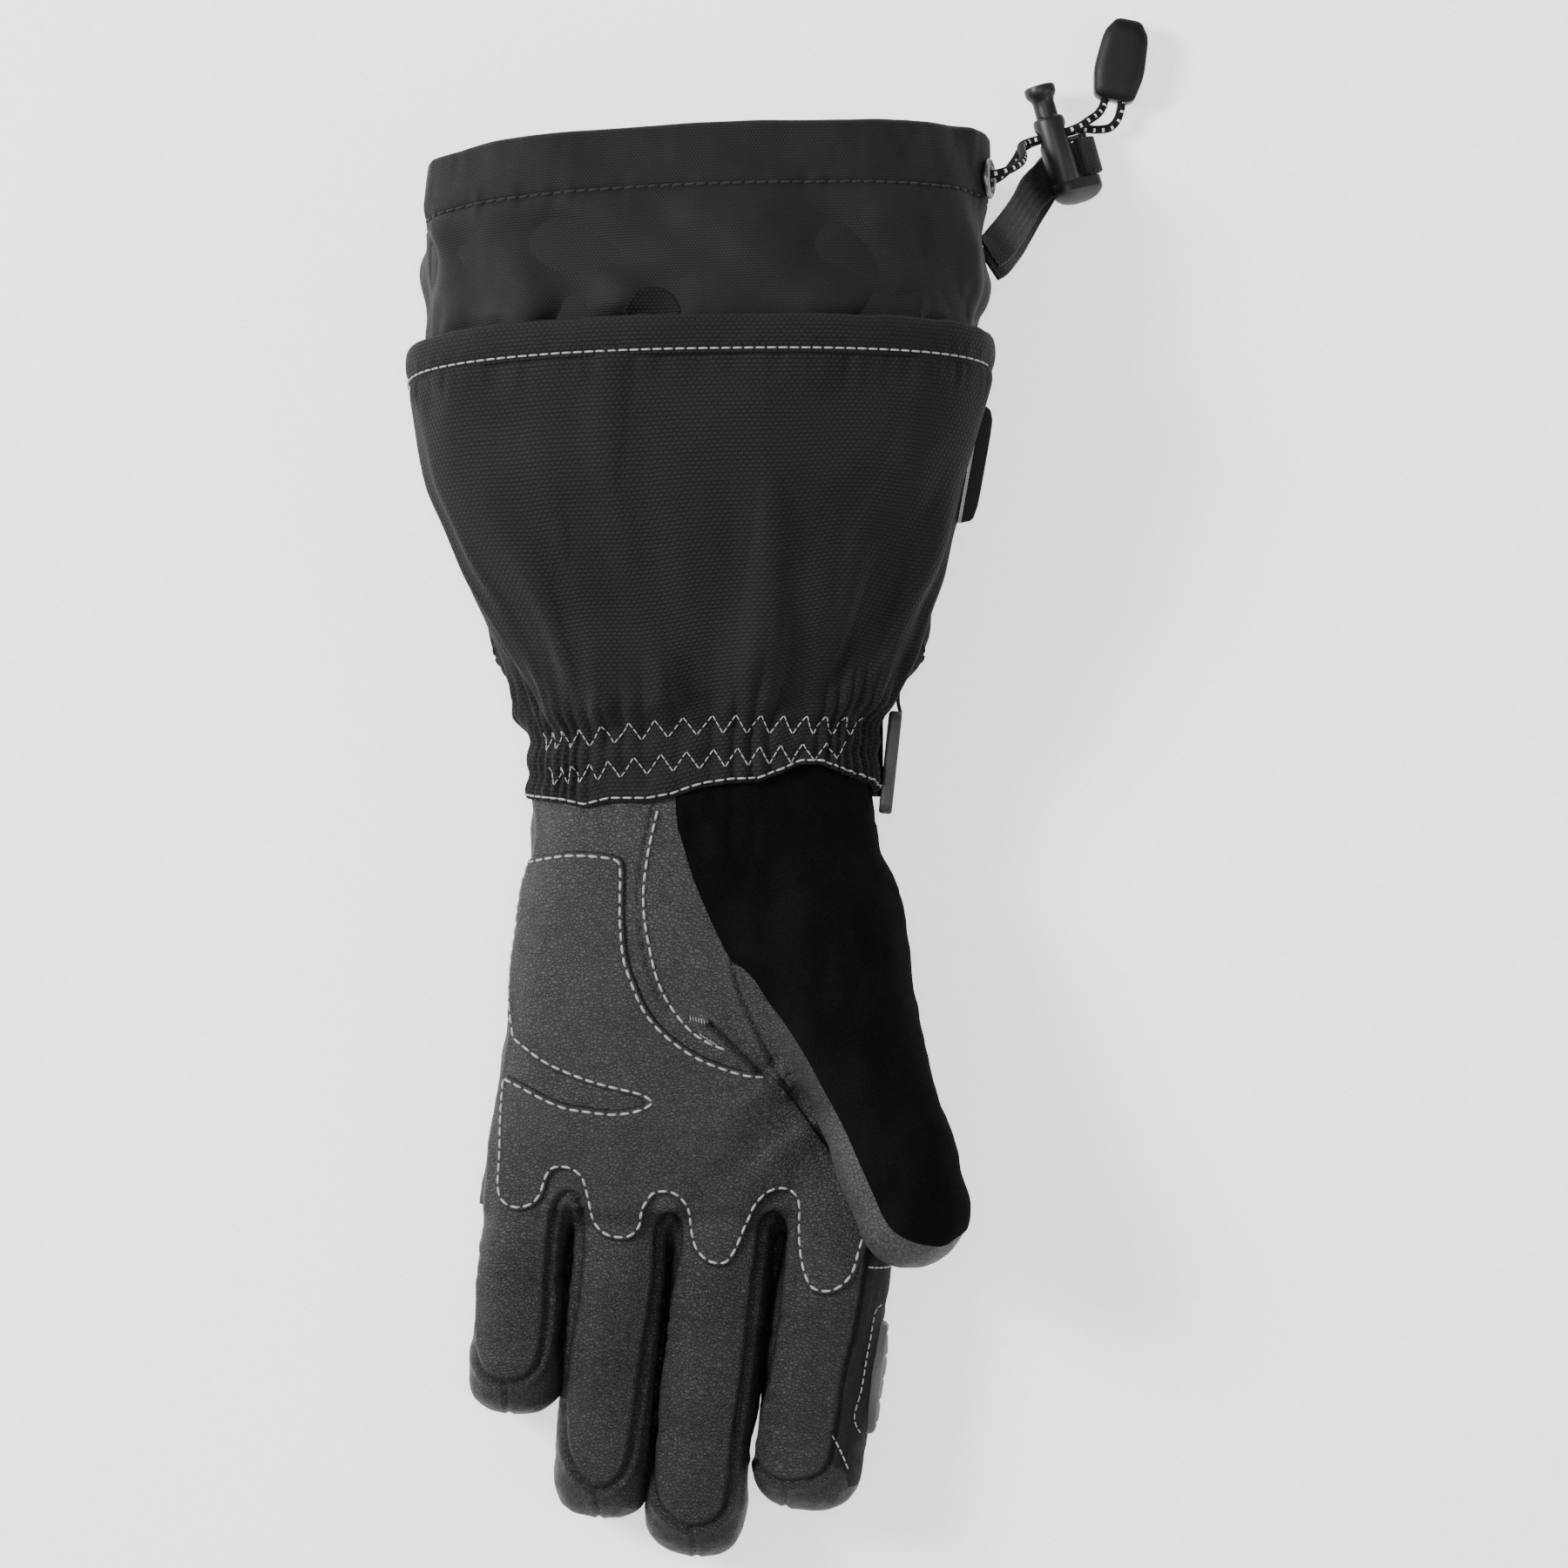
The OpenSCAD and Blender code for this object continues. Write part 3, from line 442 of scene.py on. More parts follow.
def seam_field(V, N):
    """Displacement and painted shade from the seams of the fingers and palm."""
    xy = V[:, :2]
    up = V[:, 2] > 9
    d = np.full(len(V), 99.0)
    near = up & (V[:, 2] < 60)
    d[near], _ = seg_dist(xy[near], FRONT)
    ft = f_thumb(V); fb = f_body(V)
    onthumb = ft < fb
    d[onthumb] = 99
    # inside the front panel or outside it
    poly = np.concatenate([FRONT, [[52, -80], [52, 20], [-46, 20]]])
    ins = inside(xy, poly)
    sd = np.where(ins, d, -d)
    slope = np.clip(N[:, 2], 0.0, 1)
    g = -0.75 * np.exp(-((sd + 0.15) / 0.75) ** 2) + 0.35 * np.exp(-((sd - 1.5) / 1.0) ** 2) + 0.55 * np.exp(-((sd + 1.9) / 0.95) ** 2)
    g += np.where(sd > 0, 0.45 * sstep(0.2, 2.0, sd), 0) * (np.abs(sd) < 90)
    g *= sstep(-0.15, 0.15, N[:, 2] + 0.1) * (d < 90)
    # painted shade along the groove of the front panel's seam
    dark = np.exp(-((sd + 0.2) / 0.55) ** 2) * (d < 90) * up
    # welt beside the thumb gusset's seam, the fold at its end and the edge of the thumb's strip, each with painted
    # shade along its groove
    up2 = N[:, 2] > 0.05
    for pts, gd, gw, rd, ro, rw, painted_shade in ((WELT, 0.5, 0.5, 0.35, 0.9, 0.7, 0.75), (FOLD, 1.5, 0.7, 0.9, 1.4, 1.2, 1.0), (EDGE, 0.7, 0.6, 0.6, -1.2, 0.9, 0.8)):
        q, _ = seg_dist(xy, smooth_line(pts, step=1.0))
        A_ = np.array(pts, float)
        m = up2 * (V[:, 2] > 20)
        g += m * (-gd * np.exp(-(q / gw) ** 2) + rd * np.exp(-((q - abs(ro)) / rw) ** 2))
        dark = np.maximum(dark, m * painted_shade * np.exp(-(q / (gw * 0.75)) ** 2))
    # painted shade in the gussets between the fingers' roots
    dark = np.maximum(dark, 1.05 * sstep(1.2, 0.1, np.abs(f_web(V))) * (V[:, 2] < 20))
    # seams across the fingertips: a groove with painted shade along it
    for a, b in CAPS:
        q, _ = seg_dist(xy, np.array([a, b], float))
        m = (V[:, 2] > 4) * (~onthumb)
        g += -0.5 * np.exp(-(q / 0.6) ** 2) * m + 0.2 * np.exp(-((q - 1.3) / 0.7) ** 2) * m
        dark += 0.8 * np.exp(-(q / 0.4) ** 2) * m
    return g, np.clip(dark, 0, 1), np.where(up & (d < 90), sd, -50), onthumb

def wrinkles(V, N, onthumb):
    g = 0.8 * fbm(V / np.array([16, 13, 16]), 5, 3)
    g += 0.2 * fbm(V / 4.5, 9, 2)
    for k, (r, x0, lean, s1, s2, tip) in FING.items():
        u, s, w = finger_local(V, k)
        near = (np.abs(u) < r + 1.5) & (s > 4) & (s < tip + 2) & ~onthumb
        palm = sstep(-4, 4, w)
        jit = 1.1 * noise(V / 6.0, 21)
        for c, a, wd in ((s1 - 2.2, 0.55, 1.1), (s1 + 2.6, 0.45, 1.0), (s1 - 7, 0.25, 0.9), (s2 - 1.6, 0.45, 1.0), (s2 + 2.6, 0.3, 0.9), (s1 + 7, 0.2, 0.9)):
            g -= near * palm * a * np.exp(-(((s - c) + jit) / wd) ** 2) * (0.55 + 0.45 * noise(V / 5.0, 31))
        # fine creases across the finger
        cr = noise(np.stack([u / 9, s / 1.5, w / 9], -1), 41)
        g += near * 0.09 * cr * (0.6 + 0.6 * noise(V / 12.0, 51))
    # creases in the palm that fan out from the thumb's root
    m = sstep(-100, -80, V[:, 1]) * (1 - sstep(-66, -50, V[:, 1])) * sstep(2, 16, V[:, 0]) * (N[:, 2] > 0.2) * ~onthumb
    t = (V[:, 0] - 15) * 0.62 + (V[:, 1] + 80) * -0.78
    g += m * 0.85 * noise(np.stack([t / 3.2, (V[:, 0] * 0.78 + V[:, 1] * 0.62) / 18, 0 * t], -1), 61)
    # puckers just below the wrist seam
    p = sstep(-14, 8, V[:, 1])
    ang = np.arctan2(V[:, 2] - 24, V[:, 0])
    g += p * 0.55 * noise(np.stack([ang * 9, V[:, 1] / 14, 0 * ang], -1), 71)
    return g

g1, dark, FSD, ONT = seam_field(HV, HN)
g2 = wrinkles(HV, HN, ONT)
HVd = HV + HN * (g1 + g2)[:, None]
HVd[:, 2] = np.maximum(HVd[:, 2], 0.05)
HNd = vertex_normals(HVd, HF)
if (HNd * HN).sum(1).mean() < 0:
    HF = HF[:, ::-1]; HNd = -HNd
if (vertex_normals(PV, PF) * PN).sum(1).mean() < 0: PF = PF[:, ::-1]
g1p, _, _, ontp = seam_field(PV, PN)
PVd = PV + PN * (g1p + wrinkles(PV, PN, np.zeros(len(PV), bool)))[:, None]
TREE = BVHTree.FromPolygons(HVd.tolist(), HF.tolist())
PTREE = BVHTree.FromPolygons(PVd.tolist(), PF.tolist())
# ------------------------------------------------------------------ materials
class Mat:
    def __init__(self, name):
        self.m = bpy.data.materials.new(name)
        self.m.use_nodes = True
        self.t = self.m.node_tree
        self.t.nodes.clear()
        self.out = self.t.nodes.new("ShaderNodeOutputMaterial")
        self.bsdf = self.t.nodes.new("ShaderNodeBsdfPrincipled")
        self.t.links.new(self.bsdf.outputs[0], self.out.inputs[0])
    def put(self, sock, v):
        if isinstance(v, bpy.types.NodeSocket): self.t.links.new(v, sock)
        else:
            if isinstance(v, tuple) and hasattr(sock.default_value, "__len__"): v = v[:len(sock.default_value)]
            sock.default_value = v
    def math(self, op, a, b=0.0, c=0.0, clamp=False):
        n = self.t.nodes.new("ShaderNodeMath"); n.operation = op; n.use_clamp = clamp
        self.put(n.inputs[0], a); self.put(n.inputs[1], b); self.put(n.inputs[2], c)
        return n.outputs[0]
    def vmath(self, op, a, b=(0, 0, 0)):
        n = self.t.nodes.new("ShaderNodeVectorMath"); n.operation = op
        self.put(n.inputs[0], a); self.put(n.inputs[1], b)
        return n.outputs[0]
    def attr(self, name, kind="Fac"):
        n = self.t.nodes.new("ShaderNodeAttribute"); n.attribute_name = name
        return n.outputs[kind]
    def rest(self, scale=(1, 1, 1)):
        return self.vmath("MULTIPLY", self.attr("rest", "Vector"), scale)
    def uv(self):
        n = self.t.nodes.new("ShaderNodeUVMap"); n.uv_map = "UVMap"
        s = self.t.nodes.new("ShaderNodeSeparateXYZ")
        self.t.links.new(n.outputs[0], s.inputs[0])
        return s.outputs[0], s.outputs[1]
    def sep(self, v):
        s = self.t.nodes.new("ShaderNodeSeparateXYZ"); self.put(s.inputs[0], v)
        return s.outputs
    def noise(self, vec, scale, detail=2.0, rough=0.5):
        n = self.t.nodes.new("ShaderNodeTexNoise")
        self.put(n.inputs["Vector"], vec); n.inputs["Scale"].default_value = scale
        n.inputs["Detail"].default_value = detail; n.inputs["Roughness"].default_value = rough
        return n.outputs["Fac"]
    def voronoi(self, vec, scale, feature="DISTANCE_TO_EDGE", rand=1.0):
        n = self.t.nodes.new("ShaderNodeTexVoronoi"); n.feature = feature
        self.put(n.inputs["Vector"], vec); n.inputs["Scale"].default_value = scale
        n.inputs["Randomness"].default_value = rand
        return n.outputs["Distance"]
    def ramp(self, x, a, b, lo=0.0, hi=1.0):
        n = self.t.nodes.new("ShaderNodeMapRange"); n.interpolation_type = "SMOOTHSTEP"
        self.put(n.inputs[0], x)
        for i, v in ((1, a), (2, b), (3, lo), (4, hi)): n.inputs[i].default_value = v
        return n.outputs[0]
    def mix(self, f, a, b):
        n = self.t.nodes.new("ShaderNodeMix"); n.data_type = "RGBA"
        self.put(n.inputs[0], f); self.put(n.inputs[6], a); self.put(n.inputs[7], b)
        return n.outputs[2]
    def scale(self, col, f):
        n = self.t.nodes.new("ShaderNodeVectorMath"); n.operation = "SCALE"
        self.put(n.inputs[0], col); self.put(n.inputs["Scale"], f)
        return n.outputs[0]
    def bump(self, h, dist, strength=1.0, normal=None):
        n = self.t.nodes.new("ShaderNodeBump")
        self.put(n.inputs["Height"], h); n.inputs["Distance"].default_value = dist
        n.inputs["Strength"].default_value = strength
        if normal is not None: self.t.links.new(normal, n.inputs["Normal"])
        return n.outputs[0]
    def finish(self, color, rough, normal=None, metallic=0.0, spec=0.5, sheen=0.0, sheen_rough=0.5, coat=0.0):
        b = self.bsdf
        self.put(b.inputs["Base Color"], color)
        self.put(b.inputs["Roughness"], rough)
        b.inputs["Metallic"].default_value = metallic
        b.inputs["Specular IOR Level"].default_value = spec
        b.inputs["Sheen Weight"].default_value = sheen
        b.inputs["Sheen Roughness"].default_value = sheen_rough
        b.inputs["Coat Weight"].default_value = coat
        if normal is not None: self.t.links.new(normal, b.inputs["Normal"])
        return self.m

def grey(v, w=0.0):
    return (v * (1 + w), v, v * (1 - w), 1)

def leather(name, palm, finger=None, rough=0.52, grain=1.0, depth=0.00016, back=False, spec=0.42):
    m = Mat(name)
    P = m.attr("rest", "Vector")
    warp = m.t.nodes.new("ShaderNodeTexNoise"); m.put(warp.inputs["Vector"], P); warp.inputs["Scale"].default_value = 0.5
    W = m.vmath("ADD", m.vmath("MULTIPLY", P, (0.78, 1.15, 1.0)), m.scale(warp.outputs["Color"], 1.6))
    cell = m.ramp(m.voronoi(W, grain), 0.0, 0.2)
    fine = m.ramp(m.voronoi(W, grain * 2.3), 0.0, 0.3)
    n2 = m.noise(P, 3.5, 3)
    h = m.math("ADD", m.math("MULTIPLY", cell, 0.75), m.math("ADD", m.math("MULTIPLY", fine, 0.25), m.math("MULTIPLY", n2, 0.25)))
    big = m.noise(P, 0.045, 3)
    mid = m.noise(P, 0.35, 3)
    y = m.sep(P)[1]
    # the fingers get the darker second colour, blended in from y -85 to -125: painted shade, darker towards the
    # fingertips
    col = m.mix(m.ramp(y, -125, -85), finger or palm, palm) if finger else palm
    k = m.math("MULTIPLY", m.ramp(big, 0.3, 0.7, 0.9, 1.12), m.ramp(mid, 0.25, 0.75, 0.92, 1.08))
    k = m.math("MULTIPLY", k, m.math("SUBTRACT", 1.0, m.math("MULTIPLY", m.math("SUBTRACT", 1.0, cell), 0.62)))
    # painted shade from the dark attribute (seams, creases, gaps)
    k = m.math("MULTIPLY", k, m.math("SUBTRACT", 1.0, m.math("MULTIPLY", m.attr("dark"), 0.9), clamp=True))
    # painted shade on the side walls outside the front panel
    k = m.math("MULTIPLY", k, m.ramp(m.attr("front"), -1.2, 0.2, 0.72, 1.0))
    col = m.scale(col, k)
    if back:
        col = m.mix(m.ramp(m.attr("back"), 0.45, 0.55), col, grey(0.005))
    r = m.ramp(mid, 0.2, 0.8, rough - 0.05, rough + 0.08)
    if back: r = m.math("ADD", r, m.math("MULTIPLY", m.ramp(m.attr("back"), 0.45, 0.55), 0.4), clamp=True)
    return m.finish(col, r, m.bump(h, depth), spec=spec, sheen=0.0)

def weave(name, base, pu, pv, depth=0.00025, rough=0.8, spec=0.3, brick=True, var=0.25, sheen=0.12):
    m = Mat(name)
    u, v = m.uv()
    P = m.attr("rest", "Vector")
    wob = m.math("MULTIPLY", m.noise(P, 0.25, 2), 0.5)
    vv = m.math("DIVIDE", m.math("ADD", v, wob), pv)
    row = m.math("FLOOR", vv)
    off = m.math("MULTIPLY", m.math("MODULO", m.math("ABSOLUTE", row), 2.0), 0.5) if brick else 0.0
    uu = m.math("ADD", m.math("DIVIDE", u, pu), off)
    a = m.math("ABSOLUTE", m.math("SINE", m.math("MULTIPLY", uu, math.pi)))
    b = m.math("ABSOLUTE", m.math("SINE", m.math("MULTIPLY", vv, math.pi)))
    h = m.math("MULTIPLY", m.math("POWER", a, 0.5), m.math("POWER", b, 0.7))
    fib = m.noise(m.vmath("MULTIPLY", P, (1, 1, 1)), 5.0, 2)
    h2 = m.math("ADD", h, m.math("MULTIPLY", fib, 0.25))
    big = m.noise(P, 0.04, 3)
    k = m.math("MULTIPLY", m.ramp(h, 0.05, 0.8, 1 - var * 2, 1 + var), m.ramp(big, 0.3, 0.7, 0.88, 1.12))
    # painted shade from the dark attribute
    k = m.math("MULTIPLY", k, m.math("SUBTRACT", 1.0, m.math("MULTIPLY", m.attr("dark"), 0.9), clamp=True))
    return m.finish(m.scale(base, k), rough, m.bump(h2, depth), spec=spec, sheen=sheen)

def suede(name, base):
    m = Mat(name)
    P = m.attr("rest", "Vector")
    nap = m.noise(P, 2.6, 4, 0.7)
    big = m.noise(m.vmath("MULTIPLY", P, (1, 0.5, 1)), 0.09, 3)
    k = m.math("MULTIPLY", m.ramp(nap, 0.3, 0.7, 0.6, 1.5), m.ramp(big, 0.3, 0.7, 0.8, 1.25))
    # painted shade from the dark attribute
    k = m.math("MULTIPLY", k, m.math("SUBTRACT", 1.0, m.math("MULTIPLY", m.attr("dark"), 0.9), clamp=True))
    return m.finish(m.scale(base, k), 1.0, m.bump(nap, 0.00022), spec=0.02, sheen=0.012, sheen_rough=0.45)

def plastic(name, base, rough=0.38, spec=0.5, grain=0.00002):
    m = Mat(name)
    P = m.attr("rest", "Vector")
    n = m.noise(P, 6.0, 3)
    sc = m.noise(m.vmath("MULTIPLY", P, (0.3, 2.0, 1.0)), 2.0, 2)
    return m.finish(m.scale(base, m.ramp(sc, 0.3, 0.7, 0.9, 1.1)), m.ramp(n, 0.3, 0.7, rough - 0.05, rough + 0.08), m.bump(n, grain), spec=spec)

def metal(name, base, rough=0.32):
    m = Mat(name)
    P = m.attr("rest", "Vector")
    n = m.noise(P, 3.0, 3)
    return m.finish(m.scale(base, m.ramp(n, 0.3, 0.7, 0.85, 1.15)), m.ramp(n, 0.3, 0.7, rough - 0.06, rough + 0.1), m.bump(n, 0.00001), metallic=1.0)

def thread(name, base):
    m = Mat(name)
    P = m.attr("rest", "Vector")
    n = m.noise(P, 2.2, 2)
    return m.finish(m.scale(base, m.ramp(n, 0.3, 0.7, 0.72, 1.15)), 0.75, m.bump(m.noise(P, 6, 2), 0.00008), spec=0.3, sheen=0.1)

def cord_mat(name):
    m = Mat(name)
    u, v = m.uv()  # u along in mm, v round from 0 to 1
    a = m.math("ADD", m.math("DIVIDE", u, 1.3), m.math("MULTIPLY", v, 4.0))
    b = m.math("SUBTRACT", m.math("DIVIDE", u, 1.3), m.math("MULTIPLY", v, 4.0))
    h = m.math("MAXIMUM", m.math("ABSOLUTE", m.math("SINE", m.math("MULTIPLY", a, math.pi))), m.math("ABSOLUTE", m.math("SINE", m.math("MULTIPLY", b, math.pi))))
    c = m.math("FRACT", m.math("DIVIDE", u, 2.6))
    d = m.math("FRACT", m.math("MULTIPLY", v, 2.0))
    f = m.math("MULTIPLY", m.math("LESS_THAN", c, 0.27), m.math("MULTIPLY", m.math("GREATER_THAN", d, 0.34), m.math("LESS_THAN", d, 0.66)))
    col = m.mix(f, grey(0.006), grey(0.6, 0.02))
    col = m.scale(col, m.ramp(h, 0.5, 1.0, 0.55, 1.0))
    return m.finish(col, 0.8, m.bump(h, 0.00012), spec=0.15, sheen=0.0)

def tape(name, base, pitch=0.9, stripes=False):
    m = Mat(name)
    u, v = m.uv()  # u across in mm, v along in mm
    z = m.math("ABSOLUTE", m.math("SUBTRACT", m.math("FRACT", m.math("DIVIDE", u, 2 * pitch)), 0.5))
    t = m.math("ADD", m.math("DIVIDE", v, pitch), m.math("MULTIPLY", z, 1.6))
    h = m.math("ABSOLUTE", m.math("SINE", m.math("MULTIPLY", t, math.pi)))
    g = m.math("ABSOLUTE", m.math("SINE", m.math("MULTIPLY", m.math("DIVIDE", u, pitch), math.pi)))
    hh = m.math("ADD", m.math("MULTIPLY", h, 0.7), m.math("MULTIPLY", g, 0.3))
    col = base
    if stripes:
        s = m.math("MULTIPLY", m.math("GREATER_THAN", m.math("FRACT", m.math("DIVIDE", u, 5.2)), 0.42), m.math("LESS_THAN", m.math("FRACT", m.math("DIVIDE", u, 5.2)), 0.58))
        col = m.mix(s, base, grey(0.42))
    col = m.scale(col, m.ramp(hh, 0.2, 0.9, 0.55, 1.15))
    return m.finish(col, 0.82, m.bump(hh, 0.00025), spec=0.25, sheen=0.12)

# the second grey, for the fingers, is painted shade: the same leather made darker towards the fingertips
M_PALM = leather("palm_leather", grey(0.032, 0.02), grey(0.0165, 0.02), back=True, spec=0.3, depth=0.00024)
M_OVER = leather("overlay_leather", grey(0.0285, 0.02), grey(0.019, 0.02), spec=0.3, depth=0.00024)
M_THUMB = leather("thumb_leather", grey(0.044, 0.02), None, grain=0.8, rough=0.55, back=True, spec=0.3)
M_SUEDE = suede("suede", grey(0.0033))
M_CUFF = weave("cuff_weave", grey(0.0078), 1.55, 1.1, spec=0.16, sheen=0.02)
M_WRIST = weave("wrist_weave", grey(0.006), 1.2, 0.9, depth=0.0002, spec=0.12, sheen=0.02)
M_SKIRT = weave("skirt_rib", grey(0.0054), 0.9, 0.72, depth=0.00012, brick=True, var=0.16, rough=0.72, spec=0.2, sheen=0.03)
M_LINING = weave("lining_knit", grey(0.02), 2.2, 2.2, depth=0.0005, rough=0.95, brick=True, spec=0.1, sheen=0.1)
M_BACK = weave("back_fabric", grey(0.007), 0.9, 0.9, depth=0.00015, spec=0.15, sheen=0.03)
M_THREAD = thread("thread_light", grey(0.3, 0.02))
M_THREAD_DARK = thread("thread_dark", grey(0.005))
M_CORD = cord_mat("shock_cord")
M_TAPE = tape("webbing", grey(0.006))
M_LABEL = tape("label_tape", grey(0.006), 0.6, stripes=True)
M_PLASTIC = plastic("black_plastic", grey(0.006))
M_BUCKLE = plastic("buckle_plastic", grey(0.028), 0.5, 0.3)
M_GUARD = plastic("guard_rubber", grey(0.085), 0.6, 0.25)
M_METAL = metal("eyelet_metal", grey(0.12))
M_STEEL = metal("spring_steel", grey(0.55), 0.25)

# ------------------------------------------------------------------ putting things on the hand's surface
def cast_top(xy, tree):
    """Points of the surface seen from above, carried on round the two side edges."""
    P = np.zeros((len(xy), 3))
    c = 1.7
    for i, (x, y) in enumerate(xy):
        xr, xl = float(np.interp(y, Yb, XR)) - c, float(np.interp(y, Yb, XL)) + c
        xv = min(max(x, xl), xr)
        h = tree.ray_cast(Vector((xv, y, 90)), Vector((0, 0, -1)))
        if h[0] is None:
            h = tree.find_nearest(Vector((x, y, 24)))
            P[i] = h[0]
            continue
        if x > xr or x < xl:
            z = h[0].z - abs(x - xv)
            g = tree.ray_cast(Vector((120 if x > xr else -120, y, z)), Vector((-1 if x > xr else 1, 0, 0)))
            if g[0] is not None: h = g
        P[i] = h[0]
    return P

def surf(xy, tree, f):
    P = cast_top(np.asarray(xy, float), tree)
    g = grad(f, P, 0.6)
    return P, g / np.maximum(np.linalg.norm(g, axis=1), 1e-9)[:, None]

def sheet_on(outline, tree, f, out=1.3, height=1.0, spacing=1.5, dip=0.12):
    """A thin sheet lying on the hand: outline is where its stitches run, and its edge is out further out."""
    A = np.asarray(outline, float)
    T = np.roll(A, -1, 0) - np.roll(A, 1, 0)
    T /= np.maximum(np.linalg.norm(T, axis=1), 1e-9)[:, None]
    area2 = (A[:, 0] * np.roll(A[:, 1], -1) - np.roll(A[:, 0], -1) * A[:, 1]).sum()
    Nn = np.stack([T[:, 1], -T[:, 0]], 1) * (1 if area2 > 0 else -1)
    O = A + Nn * out
    d, _ = seg_dist(O, A, True)
    O = O[d > 0.93 * out]
    T = np.roll(O, -1, 0) - np.roll(O, 1, 0)
    T /= np.maximum(np.linalg.norm(T, axis=1), 1e-9)[:, None]
    No = np.stack([T[:, 1], -T[:, 0]], 1) * (1 if area2 > 0 else -1)
    pts = [O]
    for q in (0.22, 0.5, 0.85, 1.3, 1.9):
        R = O - No * q
        d, _ = seg_dist(R, O, True)
        ok = (np.abs(d - q) < 0.08 * q) & inside(R, O)
        pts.append(R[ok] if q < 1 else R[ok][::2])
    lo, hi = O.min(0), O.max(0)
    gx, gy = np.meshgrid(np.arange(lo[0], hi[0], spacing), np.arange(lo[1], hi[1], spacing * 0.866))
    gx[1::2] += spacing / 2
    G = np.stack([gx.ravel(), gy.ravel()], 1)
    G = G[inside(G, O)]
    d, _ = seg_dist(G, O, True)
    pts.append(G[d > 2.3])
    Q = np.concatenate(pts)
    n = len(O)
    res = delaunay_2d_cdt([Vector(q) for q in Q], [(i, (i + 1) % n) for i in range(n)], [], 1, 1e-6)
    Q = np.array([v[:] for v in res[0]])
    F = np.array([f for f in res[2] if len(f) == 3])
    d, _ = seg_dist(Q, O, True)
    h = -0.45 + (height + 0.45) * np.sqrt(1 - (1 - np.minimum(d / 0.85, 1)) ** 2)
    h -= dip * np.exp(-((d - out) / 0.45) ** 2)
    P, N = surf(Q, tree, f)
    V = P + N * h[:, None]
    # painted shade on the sheet's rolled-down edge and in the dip along its stitches
    dark = 0.95 * np.exp(-(d / 0.4) ** 2) + 0.35 * np.exp(-((d - out) / 0.4) ** 2)
    Nn = vertex_normals(V, F)
    if (Nn * N).sum(1).mean() < 0:
        F = F[:, ::-1]; Nn = -Nn
    return V, F, Nn, {"dark": np.clip(dark, 0, 1), "front": np.full(len(V), 5.0), "back": np.zeros(len(V))}

def capsule_run(P, N, pitch=3.4, length=2.45, r=0.36, lift=0.1, slant=0.0, start=0.5):
    """Stitches along the points P with surface normals N. Returns a list of (V, F, centre)."""
    seg = np.linalg.norm(np.diff(P, axis=0), axis=1)
    L = np.concatenate([[0], np.cumsum(seg)])
    out = []
    k = max(int(round(L[-1] / pitch)), 1)
    pt = L[-1] / k
    at = lambda t, A: np.array([np.interp(t, L, A[:, i]) for i in range(3)])
    for j in range(k):
        c = (j + start) * pt
        prof = [(-0.5, -0.6, 0.55), (-0.44, -0.05, 0.85), (-0.2, 0.12, 1.0), (0.2, 0.12, 1.0), (0.44, -0.05, 0.85), (0.5, -0.6, 0.55)]
        line, rad = [], []
        n0 = at(c, N); n0 /= np.linalg.norm(n0)
        t0 = at(min(c + 0.3, L[-1]), P) - at(max(c - 0.3, 0), P)
        t0 /= max(np.linalg.norm(t0), 1e-9)
        side = np.cross(n0, t0)
        for a, z, rr in prof:
            p = at(np.clip(c + a * length, 0, L[-1]), P)
            line.append(p + n0 * (lift + z * r * 2) + side * slant * a * 2)
            rad.append(r * rr)
        line = np.array(line)
        if np.linalg.norm(line[-1] - line[0]) < 0.3: continue
        V, F = tube_mesh(line, np.array(rad), 6, up=n0)
        out.append((V, F, line.mean(0)))
    return out

STITCH = {}
def add_stitches(key, runs):
    STITCH.setdefault(key, []).extend(runs)

# ------------------------------------------------------------------ the hand's pieces
def finger_of(P):
    g = np.stack([f_finger(P, k) for k in FING], 1)
    i = g.argmin(1)
    S = np.stack([finger_local(P, k)[1] for k in FING], 1)
    U = np.stack([finger_local(P, k)[0] for k in FING], 1)
    return i, S[np.arange(len(P)), i], U[np.arange(len(P)), i], g[np.arange(len(P)), i]

KEYS = list(FING)
def labels_of(C, thumb_ok=True):
    """Which piece a point of the hand belongs to."""
    i, s, u, g = finger_of(C)
    lab = np.full(len(C), "palm", object)
    t = f_thumb(C)
    th = (t < g) & (t < f_palm(C)) & (((C - TH) @ TD) > -17) if thumb_ok else np.zeros(len(C), bool)
    for n, k in enumerate(KEYS):
        m = (i == n) & (s > 12.5) & ~th
        lab[m & (s <= CUT[k])] = k + "_A"
        lab[m & (s > CUT[k])] = k + "_B"
    lab[th] = "thumb"
    return lab

def attach(o, lab):
    """Attaches the palm's pieces to the body hand; the thumb's and fingers' pieces only have their transforms baked."""
    if lab == "palm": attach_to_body(o, "hand")
    elif lab == "thumb":
        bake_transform(o)
    else:
        k, half = lab.rsplit("_", 1)
        r, x0, lean, s1, s2, tip = FING[k]
        if half == "A":
            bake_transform(o)
        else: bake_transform(o)
    return o

fi, fs_, fu, fg = finger_of(HVd)
back = sstep(0.15, 0.4, -HN[:, 2]) * ((fs_ < 6) | ONT)
isidx = (fi == 3) & (fu > 3) & (FSD < 0.0) & (fs_ > 8) & (fs_ < 80) & ~ONT
back = np.where(isidx, 1.0, back)
# front: signed distance to the front panel's seam; the leather paints the side walls outside it darker as shade
front = np.where(ONT, 5, np.where(FSD > -40, FSD, -2.0))
front = np.where(fs_ < 0, 5, front)
